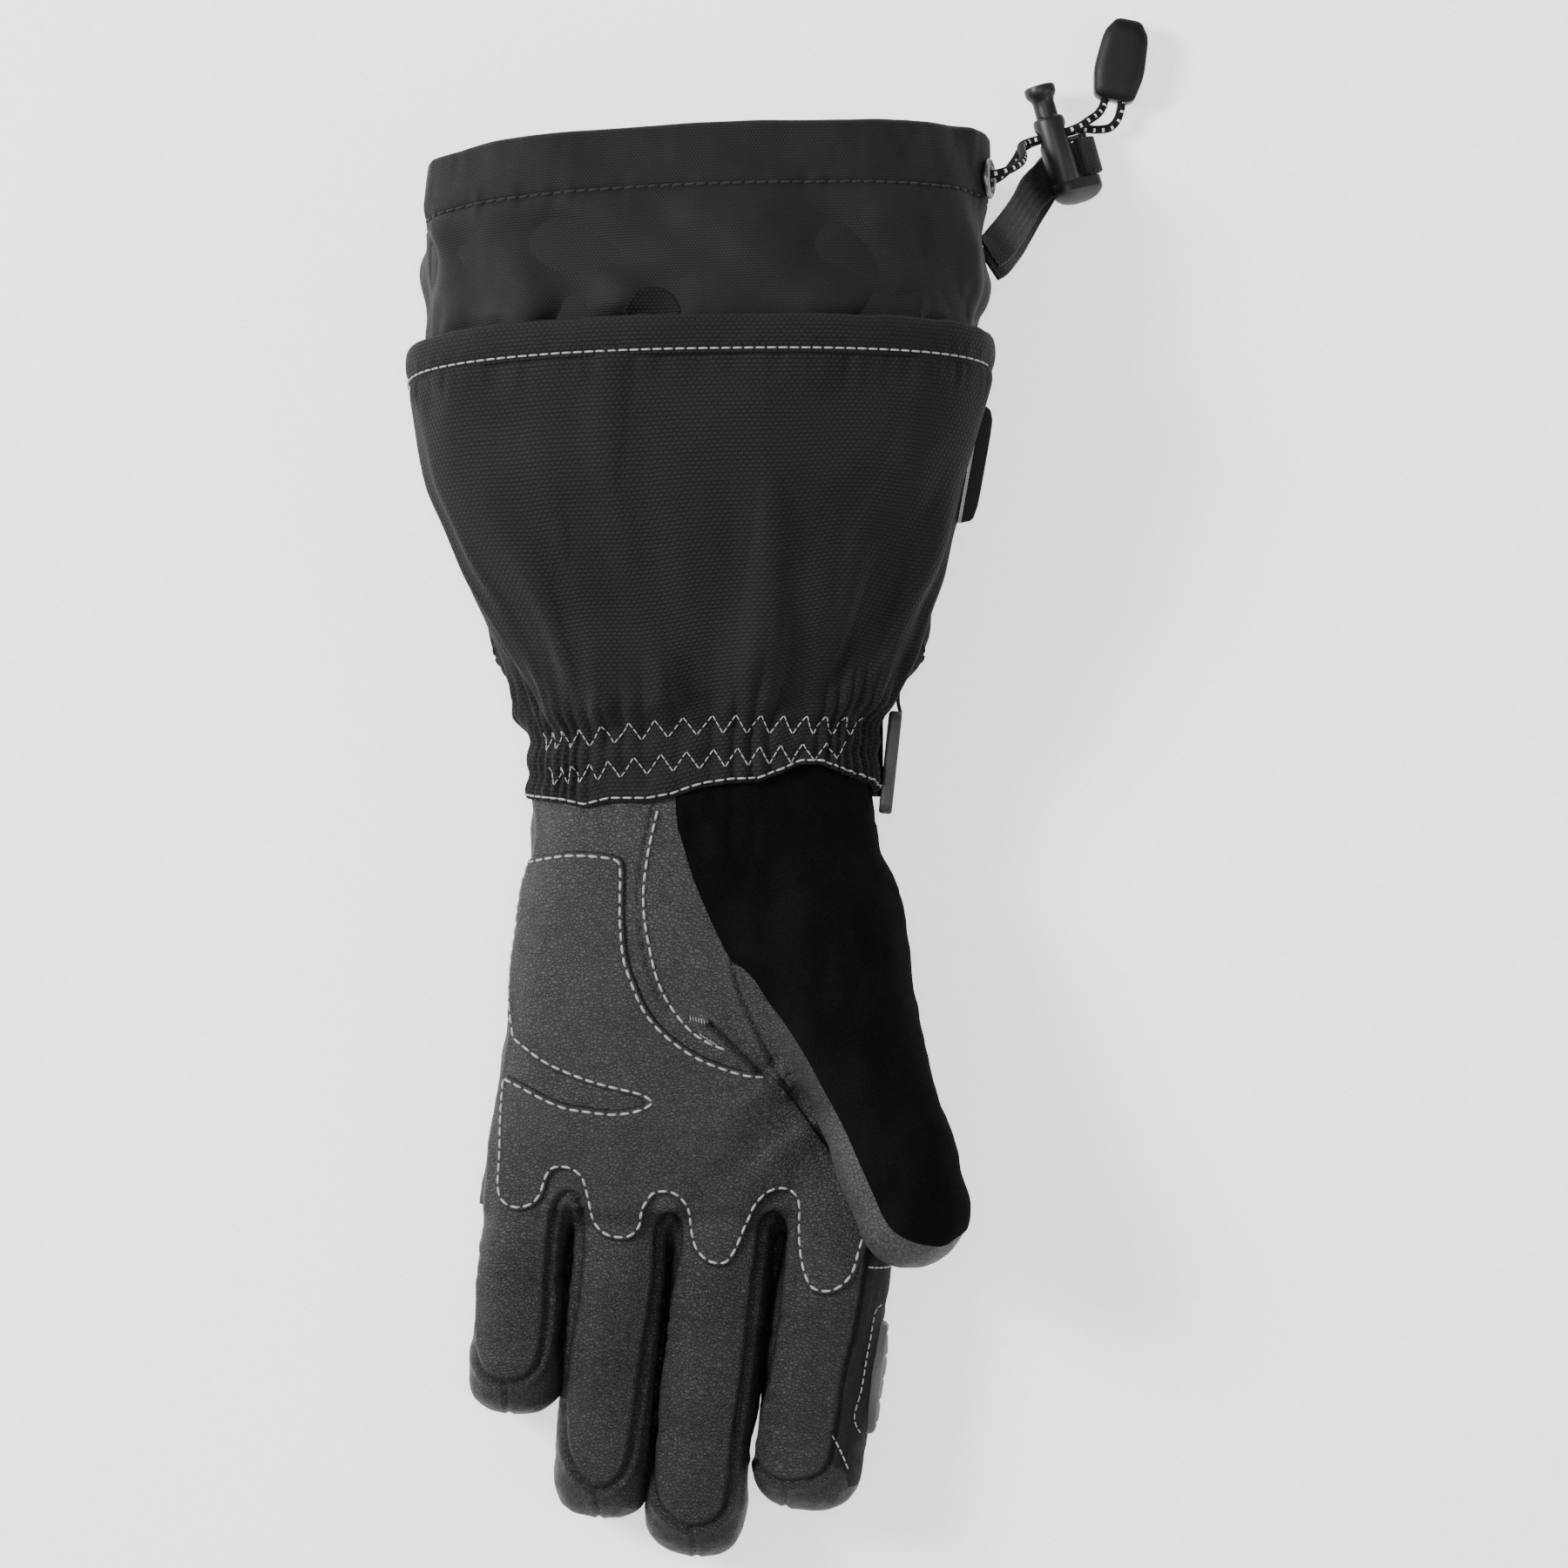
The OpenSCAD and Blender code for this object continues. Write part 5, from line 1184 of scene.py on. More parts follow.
# painted shade along the tunnel seam and where the skirt tucks under the hem
skirt_painted_shade = np.zeros((nv + 21, NU + 1))
skirt_painted_shade[:nv] = 0.55 * np.exp(-((Yo - tun_y(T)) / 0.55) ** 2) + 0.55 * (1 - sstep(-1, 5, Yo - hem_y(T) - 9))
hole = np.zeros(len(F), bool)
for t0 in (7.8, -23.0):
    P0, N0 = sec_base(SK, np.array([178.0]), np.array([t0]))
    q_ = V[F].mean(1) - P0[0]
    al_ = q_ @ N0[0]
    hole |= (np.linalg.norm(q_ - al_[:, None] * N0[0], axis=1) < 3.5) & (np.abs(al_) < 2.2)
F = F[~hole]
skirt = make("skirt_cloth", V, F, M_SKIRT, normals=N, uv=UV, attrs={"dark": skirt_painted_shade.ravel()})
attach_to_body(skirt, "gauntlet")
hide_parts("snow_skirt", "drawcord_tunnel", "drawcord")
T = np.linspace(-90, 270, 1500)
B, N = sec_base(SK, tun_y(T), T)
P = B + N * (skirt_off(T, tun_y(T)) + 0.12)[:, None]
add_stitches("dark", capsule_run(P, N, pitch=3.2, length=2.5, r=0.3, lift=0.1))
def skirt_at(T, Y, lift=0.0):
    B, N = sec_base(SK, Y, T)
    return B + N * (skirt_off(T, Y) + lift)[..., None], N
# dark half-round patch above the hem
rr = np.linspace(0, 1, 12); aa = np.linspace(0, 2 * np.pi, 41)[:-1]
def t_of_x(S, x, y):
    t = np.linspace(4, 176, 900); B, _ = sec_base(S, np.full(900, y), t)
    return np.interp(-np.asarray(x, float), -B[:, 0], t)
R, A = np.meshgrid(rr, aa, indexing="ij")
px, py = -12.8 + 7.9 * R * np.cos(A), 138.4 + 7.9 * R * np.sin(A)
P, N = skirt_at(t_of_x(SK, px.ravel(), 142.0), py.ravel(), 0.0)
hgt = 0.55 * np.sqrt(np.clip(1 - np.clip((R.ravel() - 0.92) / 0.08, 0, 1) ** 2, 0, 1)) - 0.1
V = P + N * hgt[:, None]
patch = make("skirt_patch", V, grid_faces(40, 12, True), M_WRIST, uv=np.stack([px.ravel(), py.ravel()], 1))
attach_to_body(patch, "gauntlet")

# ------------------------------------------------------------------ lining
ys = np.concatenate([np.linspace(132, -52, 90), [-55, -57, -58]])
LS = sections([[-60, -3, 46, 21, 11], [-40, -2, 46, 22, 14], [-10, -0.6, 42.6, 24, 16.4], [12, -0.3, 41.4, 25, 17.6], [25, 0, 41.2, 26, 18], [40, 0.7, 45.6, 27.5, 21], [57, -0.1, 53.2, 29.5, 24.8], [76, -1.4, 60.4, 32.5, 28], [95, -3.2, 66.8, 34.5, 29.8], [110, -2.6, 70, 35.5, 30.8], [132, -1.2, 72, 36, 31]])
Y = np.repeat(ys[:, None], NU + 1, 1)
T = np.broadcast_to(TT_, Y.shape)
uq = 60 * np.radians(T)
off = 0.9 * noise(np.stack([uq / 15, Y / 18, 0 * uq], -1), 81) + 0.35 * noise(np.stack([uq / 4, Y / 5, 0 * uq], -1), 83)
off = off - 40 * sstep(-54.9, -58, Y) * 0
V, F, N, UV = sleeve_mesh(LS, Y, off, flip=True)
n = NU + 1
cap = [[(len(ys) - 1) * n + k for k in range(NU)]]
# the dark attribute is painted shade, deeper into the glove
lin = make("lining_cloth", V, [list(q) for q in F] + cap, M_LINING, uv=UV, attrs={"dark": np.clip((60 - V[:, 1]) / 140, 0, 0.8)})
blend_wrist(lin)
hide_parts("gauntlet_lining", "wrist_lining")
# fold of binding that joins skirt and lining inside the hem
pr2 = np.array([(2, -0.2), (3.2, 0.7), (2.6, 1.9), (0.6, 2.3), (-1.2, 1.6), (-1.6, 0.5), (-1, -0.3)])
Y = 131 + np.repeat(pr2[:, :1], NU + 1, 1); off = np.repeat(pr2[:, 1:] - 1.2, NU + 1, 1)
V, F, N, UV = sleeve_mesh(LS, Y, off, flip=True)
bind = make("lining_binding", V, F, M_WRIST, normals=N, uv=UV)
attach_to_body(bind, "gauntlet")
# ------------------------------------------------------------------ small parts: helpers
def lathe(prof, n=40):
    """Closed (r, z) profile turned about z; points with r = 0 close the ends."""
    a = np.linspace(0, 2 * np.pi, n, endpoint=False)
    V = np.array([[r * np.cos(t), r * np.sin(t), z] for r, z in prof for t in a])
    F = [list(q) for q in grid_faces(n, len(prof))]
    return V, F
def frame_at(V, P, Z, Yd=(0, 1, 0)):
    Z = np.asarray(Z, float) / np.linalg.norm(Z)
    X = np.cross(Yd, Z); X /= np.linalg.norm(X)
    Yv = np.cross(Z, X)
    return np.asarray(P) + V[:, :1] * X + V[:, 1:2] * Yv + V[:, 2:3] * Z
def turn_z(V, deg, loc):
    a = math.radians(deg); c, s = math.cos(a), math.sin(a)
    return np.stack([c * V[:, 0] - s * V[:, 1], s * V[:, 0] + c * V[:, 1], V[:, 2]], 1) + np.asarray(loc, float)
def along_y(V):  # z of a lathe becomes y
    return np.stack([V[:, 0], V[:, 2], -V[:, 1]], 1)
def chaikin(p, it=3, q=0.25):
    p = np.asarray(p, float)
    for _ in range(it):
        n = np.roll(p, -1, 0)
        p = np.stack([p * (1 - q) + n * q, p * q + n * (1 - q)], 1).reshape(-1, 2)
    return p
def inset(p, d):
    T = np.roll(p, -1, 0) - np.roll(p, 1, 0)
    T /= np.maximum(np.linalg.norm(T, axis=1), 1e-9)[:, None]
    area2 = (p[:, 0] * np.roll(p[:, 1], -1) - np.roll(p[:, 0], -1) * p[:, 1]).sum()
    return p + np.stack([-T[:, 1], T[:, 0]], 1) * (d if area2 > 0 else -d)
def slab(p, levels):
    """Rings of the outline p at (height, inset) levels, with both ends closed."""
    n = len(p)
    V = np.concatenate([np.column_stack([inset(p, d), np.full(n, z)]) for z, d in levels])
    F = [list(q) for q in grid_faces(n, len(levels))]
    F.append(list(range(n))[::-1]); F.append([(len(levels) - 1) * n + k for k in range(n)])
    return V, F
def rrect(w, h, r, n=6):
    out = []
    for sx, sy, a0 in ((1, 1, 0), (-1, 1, 90), (-1, -1, 180), (1, -1, 270)):
        for k in range(n + 1):
            a = math.radians(a0 + 90 * k / n)
            out.append((sx * (w / 2 - r) + r * math.cos(a), sy * (h / 2 - r) + r * math.sin(a)))
    return np.array(out)
def outward(V, F):
    """Flips the faces if the closed mesh is inside out."""
    vol = 0.0
    for f in F:
        a = V[f[0]]
        for i in range(1, len(f) - 1):
            vol += np.dot(a, np.cross(V[f[i]], V[f[i + 1]]))
    return F if vol > 0 else [list(f)[::-1] for f in F]
def hard(name, V, F, mat, body, bevel=0.0, repl=(), angle=35):
    o = make(name, V, outward(V, F), mat)
    if bevel:
        b = o.modifiers.new("bevel", "BEVEL"); b.width = bevel * MM; b.segments = 2; b.limit_method = "ANGLE"; b.angle_limit = math.radians(angle)
        apply_mods(o)
    sharp(o, angle)
    if body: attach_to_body(o, body)
    if repl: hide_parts(*repl)
    return o
def apply_mods(o):
    dg = bpy.context.evaluated_depsgraph_get()
    me = bpy.data.meshes.new_from_object(o.evaluated_get(dg), preserve_all_data_layers=True, depsgraph=dg)
    o.modifiers.clear(); o.data = me
def cut(o, V, F):
    me = bpy.data.meshes.new("cutter"); me.from_pydata((np.asarray(V) * MM).tolist(), [], [list(map(int, f)) for f in outward(np.asarray(V), F)])
    c = bpy.data.objects.new("cutter", me); scene.collection.objects.link(c)
    m = o.modifiers.new("cut", "BOOLEAN"); m.operation = "DIFFERENCE"; m.object = c; m.solver = "EXACT"
    apply_mods(o)
    bpy.data.objects.remove(c); bpy.data.meshes.remove(me)
def sharp(o, angle=35):
    o.data.polygons.foreach_set("use_smooth", [True] * len(o.data.polygons))
    o.data.set_sharp_from_angle(angle=math.radians(angle))
def band(P, Uv, w, h, rnd=0.45, n=3):
    """A flat tape along P, its width along Uv. Returns V, F, uv (across, along)."""
    P = np.asarray(P, float); Uv = np.asarray(Uv, float)
    T = np.gradient(P, axis=0); T /= np.linalg.norm(T, axis=1)[:, None]
    N = np.cross(T, Uv); N /= np.linalg.norm(N, axis=1)[:, None]
    W = np.cross(N, T)
    prof = rrect(w, h, rnd * h, n)
    xs = []
    for i in range(len(prof)):
        a, b = prof[i], prof[(i + 1) % len(prof)]
        m = max(int(np.linalg.norm(b - a) / 0.9), 1)
        for k in range(m): xs.append(a + (b - a) * k / m)
    xs.append(xs[0]); q = np.array(xs)
    V = P[:, None] + q[None, :, :1] * W[:, None] + q[None, :, 1:] * N[:, None]
    L = np.concatenate([[0], np.cumsum(np.linalg.norm(np.diff(P, axis=0), axis=1))])
    uv = np.stack([np.broadcast_to(q[None, :, 0] + 50, V.shape[:2]), np.broadcast_to(L[:, None], V.shape[:2])], -1).reshape(-1, 2)
    n_ = len(q)
    F = grid_faces(n_, len(P), wrap=False)
    VN = vertex_normals(V.reshape(-1, 3), F).reshape(V.shape)
    m = VN[:, 0] + VN[:, -1]; m /= np.maximum(np.linalg.norm(m, axis=1), 1e-9)[:, None]
    VN[:, 0] = m; VN[:, -1] = m
    c = V - P[:, None]
    if (VN * c).sum() < 0: F = F[:, ::-1]; VN = -VN
    Fl = [list(f) for f in F] + [list(range(n_ - 1))[::-1], [(len(P) - 1) * n_ + k for k in range(n_ - 1)]]
    return V.reshape(-1, 3), Fl, uv, VN.reshape(-1, 3)
def tape_piece(name, pts, width_dirs, w, h, mat, slot, step=0.8, weave_relief=0.0, **kw):
    A = smooth_line([tuple(p) + tuple(u) for p, u in zip(pts, width_dirs)], step=step)
    V, F, uv, N = band(A[:, :3], A[:, 3:], w, h, **kw)
    return make(name, V, F, mat, uv=uv, normals=N, attrs={"dark": np.zeros(len(V))})

# ------------------------------------------------------------------ eyelets
EYE = {"eyelet_palm": 7.8, "eyelet_back": -23.0}
EP = {}
for nm, t in EYE.items():
    P, N = skirt_at(np.array([t]), np.array([178.0]))
    EP[nm] = (P[0], N[0])
    V, F = lathe([(2.95, -2.6), (2.9, -0.2), (2.95, 0.55), (3.2, 0.95), (3.7, 1.15), (4.4, 1.1), (5.0, 0.85), (5.4, 0.45), (5.45, 0.1), (5.2, -0.15), (3.6, -0.2), (3.5, -2.0), (4.9, -2.1), (5.0, -2.6), (2.95, -2.6)], 44)
    V = frame_at(V, P[0], N[0])
    o = make(nm + "_v", V, outward(V, F), M_METAL)
    sharp(o, 50)
    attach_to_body(o, "gauntlet"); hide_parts(nm)

# ------------------------------------------------------------------ cord strands
STRAND_A = [[75.9, 179, 36.9], [79.2, 179.4, 37.2], [83, 180.8, 35.6], [86, 183.2, 31.2], [87, 185.8, 25],
  [86.8, 188.2, 18.4], [87.2, 190.2, 12.8], [89.3, 191.5, 9.8], [92.6, 192.5, 9.3], [96, 193.45, 9.3], [100, 194.6, 9.3],
  [103.2, 195.9, 9], [106, 197.9, 7.8], [108.4, 199.8, 5.8], [109.8, 201.8, 4.7], [110.44, 203.96, 4.4], [110.72, 205.4, 4.4], [111, 206.9, 4.4], [111.49, 209.36, 4.4]]
STRAND_B = [[72, 179, 18.9], [75.6, 179.2, 17.3], [79.5, 180.4, 15], [83, 183.2, 12], [85.6, 186.8, 9], [87.2, 189.6, 7.2],
  [89.6, 191.4, 6.7], [92.6, 192.5, 6.7], [96, 193.45, 6.7], [100, 194.6, 6.7], [104, 195.6, 6.4], [108.2, 195.6, 5.2],
  [111.8, 196.2, 4.4], [113.8, 198.2, 4.2], [114.7, 200.6, 4.3], [115.16, 203.04, 4.4], [115.44, 204.5, 4.4], [115.73, 206, 4.4], [116.2, 208.4, 4.4]]
STRANDS = []
for nm, pts, node in (("strand_palm", STRAND_A, "cord_strand_palm"), ("strand_back", STRAND_B, "cord_strand_back")):
    P = smooth_line(pts, step=0.4)
    T = np.gradient(P, axis=0); T /= np.linalg.norm(T, axis=1)[:, None]
    u = np.cross(T[0], (0, 0, 1)); u /= np.linalg.norm(u); U = [u]
    for k in range(1, len(P)):
        w = U[-1] - T[k] * (U[-1] @ T[k]); U.append(w / np.linalg.norm(w))
    U = np.array(U); W = np.cross(T, U)
    n = 16
    a = np.linspace(0, 2 * np.pi, n + 1)
    L = np.concatenate([[0], np.cumsum(np.linalg.norm(np.diff(P, axis=0), axis=1))])
    R = np.cos(a)[None, :, None] * U[:, None] + np.sin(a)[None, :, None] * W[:, None]
    V = (P[:, None] + 1.15 * R).reshape(-1, 3)
    uv = np.stack([np.broadcast_to(L[:, None], (len(P), n + 1)), np.broadcast_to(a[None] / (2 * np.pi), (len(P), n + 1))], -1).reshape(-1, 2)
    F = grid_faces(n + 1, len(P), wrap=False)
    VN = vertex_normals(V, F)
    if (VN * R.reshape(-1, 3)).sum() < 0: F = F[:, ::-1]
    Fl = [list(f) for f in F] + [list(range(n))[::-1], [(len(P) - 1) * (n + 1) + k for k in range(n)]]
    o = make(nm, V, Fl, M_CORD, uv=uv, normals=R.reshape(-1, 3))
    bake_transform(o)
    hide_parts(node)
    STRANDS.append((o, P, L[-1]))

# ------------------------------------------------------------------ cord lock
LOCK, LA = (97.5, 187.8, 8.0), 15.8
M_LOCK = plastic("lock_plastic", grey(0.006), 0.42, 0.32, 0.00003)
M_LOCKEND = plastic("lock_end_plastic", grey(0.032), 0.5, 0.35, 0.00003)
lk = lambda V: turn_z(V, LA, LOCK)
V, F = lathe([(0.01, -8.7), (3.4, -8.7), (4.1, -8.3), (4.4, -7.5), (4.4, 9.6), (4.25, 10.5), (3.9, 10.95), (3.5, 11.0), (3.25, 10.7), (3.2, 10), (3.2, -5), (0.01, -5)], 48)
V = lk(along_y(V))
F = F + [list(range(48))[::-1], [11 * 48 + k for k in range(48)]]
barrel = make("lock_barrel_v", V, outward(V, F), M_LOCK)
C1, CF = tube_mesh(np.array([[-7, 5.8, 0], [0, 5.8, 0], [7, 5.8, 0]], float), 2.75, 28)
cut(barrel, lk(C1), CF)
b = barrel.modifiers.new("b", "BEVEL"); b.width = 0.25 * MM; b.segments = 2; b.limit_method = "ANGLE"; b.angle_limit = math.radians(50)
apply_mods(barrel); sharp(barrel, 40)
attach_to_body(barrel, "gauntlet"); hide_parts("lock_barrel")
# foot: a hull of two discs with a sloping, rounded end
c1, r1, c2, r2 = np.array([0.0, 0.0]), 4.45, np.array([7.6, -2.2]), 2.2
d = c2 - c1; dl = np.linalg.norm(d); base = math.atan2(d[1], d[0]); al = math.acos((r1 - r2) / dl)
o1 = [c1 + r1 * np.array([math.cos(base + al + t), math.sin(base + al + t)]) for t in np.linspace(0, 2 * math.pi - 2 * al, 26)]
o2 = [c2 + r2 * np.array([math.cos(base - al + t), math.sin(base - al + t)]) for t in np.linspace(0, 2 * al, 16)]
ol = np.array(o1 + o2)
mid = ol.mean(0)
rings = [(-7.4, 0.97, 0), (-7.8, 1.0, 0), (-9.6, 1.0, 0), (-10.2, 1.0, 0)]
V = np.concatenate([np.column_stack([mid[0] + (ol[:, 0] - mid[0]) * s, np.full(len(ol), y), mid[1] + (ol[:, 1] - mid[1]) * s + dz]) for y, s, dz in rings])
F = [list(q) for q in grid_faces(len(ol), len(rings))] + [list(range(len(ol))), [(len(rings) - 1) * len(ol) + k for k in range(len(ol))]]
foot = hard("lock_foot", lk(V), F, M_LOCK, "gauntlet", 0.0, angle=30)
rings = [(-10.15, 0.99, 0), (-10.6, 1.0, -0.05), (-11.2, 0.96, -0.35), (-12.0, 0.86, -0.9), (-12.8, 0.70, -1.5), (-13.3, 0.50, -2.0), (-13.6, 0.25, -2.3), (-13.65, 0.05, -2.4)]
V = np.concatenate([np.column_stack([mid[0] + (ol[:, 0] - mid[0]) * s, np.full(len(ol), y), mid[1] + (ol[:, 1] - mid[1]) * s + dz]) for y, s, dz in rings])
F = [list(q) for q in grid_faces(len(ol), len(rings))] + [list(range(len(ol))), [(len(rings) - 1) * len(ol) + k for k in range(len(ol))]]
hard("lock_foot_end", lk(V), F, M_LOCKEND, "gauntlet", 0.0, angle=45)
V, F = tube_mesh(np.array([[7.9, -9, -2.2], [7.9, -2, -2.2], [7.9, 4.6, -2.2]], float), 1.3, 18)
V2, F2 = slab(rrect(5.4, 1.3, 0.4, 3) + np.array([5.3, 3.95]), [(-3.4, 0.2), (-3.2, 0), (-1.4, 0), (-1.2, 0.2)])
V, F = join_parts([(V, outward(V, F)), (V2, outward(V2, F2))])
o = make("lock_bar", lk(V), F, M_LOCK); sharp(o, 40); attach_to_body(o, "gauntlet")
# plunger
V, F = lathe([(0.01, 1.2), (2.7, 1.2), (3.05, 1.6), (3.05, 13.6), (3.0, 15.4), (3.3, 16.3), (4.0, 17.2), (4.3, 17.9), (4.35, 19.2), (4.2, 19.8), (3.7, 20.1), (2.4, 20.2), (1.6, 19.9), (0.01, 19.85)], 40)
F = F + [list(range(40))[::-1], [13 * 40 + k for k in range(40)]]
V = lk(along_y(V))
plg = make("lock_plunger_v", V, outward(V, F), M_LOCK)
cs, cf = slab(np.array([[-4.5, 4.2], [4.5, 4.2], [4.5, 11.4], [-4.5, 11.4]]), [(-2.7, 0), (2.7, 0)])
cut(plg, lk(cs), cf)
sharp(plg, 40)
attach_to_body(plg, "lock_button"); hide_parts("lock_plunger")
th = np.radians(np.linspace(0, 1440, 200))
V, F = tube_mesh(np.stack([2.3 * np.cos(th), np.linspace(-4.5, 0.7, 200), 2.3 * np.sin(th)], 1), 0.35, 8, up=(0, 1, 0))
spr = make("lock_spring_v", lk(V), outward(V, F), M_STEEL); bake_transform(spr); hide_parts("lock_spring")

# webbing from the cuff to the lock and back
def lkp(c, z, y=-1.8): return (LOCK[0] + c * math.cos(math.radians(LA)) - y * math.sin(math.radians(LA)), LOCK[1] + c * math.sin(math.radians(LA)) + y * math.cos(math.radians(LA)), z)
TETHER = [(77.4, 159.2, 28.4), (79.2, 160.5, 27), (82, 164, 24), (85.2, 168.6, 17.6), (88, 173.4, 10), (90.8, 178.6, 4.6), lkp(-3, 2.6, -3.6), lkp(0, 2.45), lkp(3, 2.5), lkp(4.9, 3.2),
  lkp(5.5, 5.2), lkp(6, 7.2), lkp(7.9, 8.1), lkp(9.8, 7.2), lkp(10.5, 5.2), lkp(10, 2.6), lkp(8.4, 1.2), lkp(5, 0.95), lkp(0, 0.9), lkp(-3.4, 0.95, -3.6),
  (90.6, 175.6, 2.2), (87.4, 169.6, 6.6), (84.4, 164.2, 13), (81.6, 160.2, 19), (79.4, 157.4, 22.8), (77.6, 156.2, 24.4)]
dirs = []
for i in range(26):
    j = min(max(i - 1, 0), 23)
    a = math.radians(LA + (5 * (5 - j) if j < 6 else 5 * (j - 18) if j > 17 else 0))
    dirs.append((-math.sin(a), math.cos(a), 0))
tether = tape_piece("lock_tether_v", TETHER, dirs, 10, 1.15, M_TAPE, "webbing", step=0.5)
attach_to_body(tether, "gauntlet"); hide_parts("lock_tether")

# ------------------------------------------------------------------ pull end
M_PULL = plastic("pull_plastic", grey(0.003), 0.5, 0.2, 0.00003)
M_PULLB = plastic("pull_body_plastic", grey(0.02), 0.45, 0.5, 0.00003)
po = chaikin([[-5.4, -11], [5.4, -11], [7, -3], [6.2, 7.5], [3.4, 11.6], [-3.4, 11.6], [-6.2, 7.5], [-7, -3]], 2, 0.14)
pl = lambda V: turn_z(V, -11, (114.9, 214.3, 0.4))
V, F = slab(po, [(0, 0.9), (0.3, 0.3), (0.9, 0), (5.2, 0), (5.6, 0.3)])
body = make("pull_body_v", pl(V), outward(V, F), M_PULLB)
cs, cf = slab(np.array([[-4.2, -6.2], [4.2, -6.2], [4.2, 6.6], [-4.2, 6.6]]), [(1.4, 0), (7, 0)])
cut(body, pl(cs), cf)
for x in (-2.4, 2.4):
    cs, cf = tube_mesh(np.array([[x, -14, 4], [x, -9, 4], [x, -4, 4]], float), 1.5, 20)
    cut(body, pl(cs), cf)
sharp(body, 40)
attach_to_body(body, "pull_end"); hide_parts("pull_end_body")
lv_ = [(5.7, 0.3), (5.85, 0.05), (7.0, 0.05), (7.35, 0.3), (7.8, 0.9), (8.1, 1.5), (8.35, 2.2), (8.5, 3.0), (8.58, 4.2)]
V = np.concatenate([np.column_stack([po * (1 - i / 7, 1 - i / 11.3), np.full(len(po), z)]) for z, i in lv_] + [[[0, 0.3, 8.62]]])
n_ = len(po)
F = [[k * n_ + j, k * n_ + (j + 1) % n_, (k + 1) * n_ + (j + 1) % n_, (k + 1) * n_ + j] for k in range(len(lv_) - 1) for j in range(n_)]
F += [list(range(n_))[::-1]] + [[(len(lv_) - 1) * n_ + j, (len(lv_) - 1) * n_ + (j + 1) % n_, len(V) - 1] for j in range(n_)]
cap = make("pull_cap_v", pl(V), outward(V, F), M_PULL); sharp(cap, 34)
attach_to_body(cap, "pull_end"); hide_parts("pull_end_cap")
for (o, P, L), yy in zip(STRANDS, (0, 1)):
    # no knot is made at the strand's end inside the case; the loop does nothing
    pass

# ------------------------------------------------------------------ label sewn into the side seam
tab = chaikin([[74.1, 118], [77.6, 116.2], [78.3, 112.6], [73.6, 86.3], [68.6, 85.2], [67.4, 86.6], [71.7, 108]], 2, 0.16)
V, F = slab(tab, [(33.4, 0.35), (33.55, 0.0), (34.25, 0.0), (34.4, 0.3), (34.55, 0.3), (34.7, 0.0), (35.5, 0.0), (35.75, 0.4)])
ax = np.array([-0.176, -0.984]); ac = np.array([0.984, -0.176])
V[:, 2] += 0.5 * np.sin((V[:, :2] @ ax) / 9.0) * 0.6
tabo = make("label_v", V, outward(V, F), M_LABEL, uv=np.stack([V[:, :2] @ ac + 1.6, V[:, :2] @ ax], 1), attrs={"dark": np.zeros(len(V))})
sharp(tabo, 50)
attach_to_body(tabo, "gauntlet"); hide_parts("side_tab")

# ------------------------------------------------------------------ wrist strap, its ring and the ring's loop
STRAP = [(-34, 23.5, 2.4), (-30, 23.5, 1.5), (-15, 23.5, 0.9), (0, 23.5, 0.9), (15, 23.5, 0.9), (25, 23.5, 1.0), (34, 23.5, 2.2), (42, 23.5, 7), (46.6, 23.5, 14), (48.2, 23.5, 19), (50.2, 22.6, 21.6), (52.6, 22.4, 23.4), (53.9, 22.4, 20.4), (52.2, 22.6, 15), (48.6, 23, 9.2), (43, 23.2, 3.6), (36, 23.4, 0.5)]
strap = tape_piece("wrist_strap_v", STRAP[:10], [(0, 1, 0)] * 10, 24, 1.6, M_TAPE, "webbing", step=0.8)
blend_wrist(strap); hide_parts("wrist_strap")
rng_o, rng_i = rrect(28, 13.4, 3.0), rrect(24.8, 7.6, 1.6)
lv = [(0.7, rrect(28, 13.4, 3.0)), (2.7, rrect(28, 13.4, 3.0)), (3.15, rrect(27.6, 13.0, 2.8)), (3.4, rrect(26.9, 12.3, 2.5)), (3.4, rrect(25.6, 8.4, 2.0)), (3.1, rrect(25.0, 7.8, 1.7)), (0.3, rrect(25.0, 7.8, 1.7)), (0, rrect(25.6, 8.4, 2.0)), (0, rrect(26.9, 12.3, 2.5)), (0.25, rrect(27.6, 13.0, 2.8)), (0.7, rrect(28, 13.4, 3.0))]
V = np.concatenate([np.column_stack([np.full(len(q), x), q[:, 0], q[:, 1]]) for x, q in lv])
F = [list(q) for q in grid_faces(len(rng_o), len(lv))]
V = turn_z(V, -6.1, (49.1, 21, 26.3))
ring = make("strap_ring_v", V, outward(V, F), M_BUCKLE); sharp(ring, 40)
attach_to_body(ring, "gauntlet"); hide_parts("strap_ring")
anchor = tape_piece("ring_anchor_v", [(57.2, 54.5, 27.8), (55.9, 50, 27.4), (54.4, 45, 26.9), (53.1, 41, 26.4), (52.9, 37.2, 26.3), (53.5, 34.4, 26.3), (53.2, 32.6, 26.3), (51.7, 31.9, 26.3)], [(0, 0, 1)] * 8, 6.4, 0.9, M_TAPE, "webbing", step=0.5)
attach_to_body(anchor, "gauntlet"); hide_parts("ring_anchor")

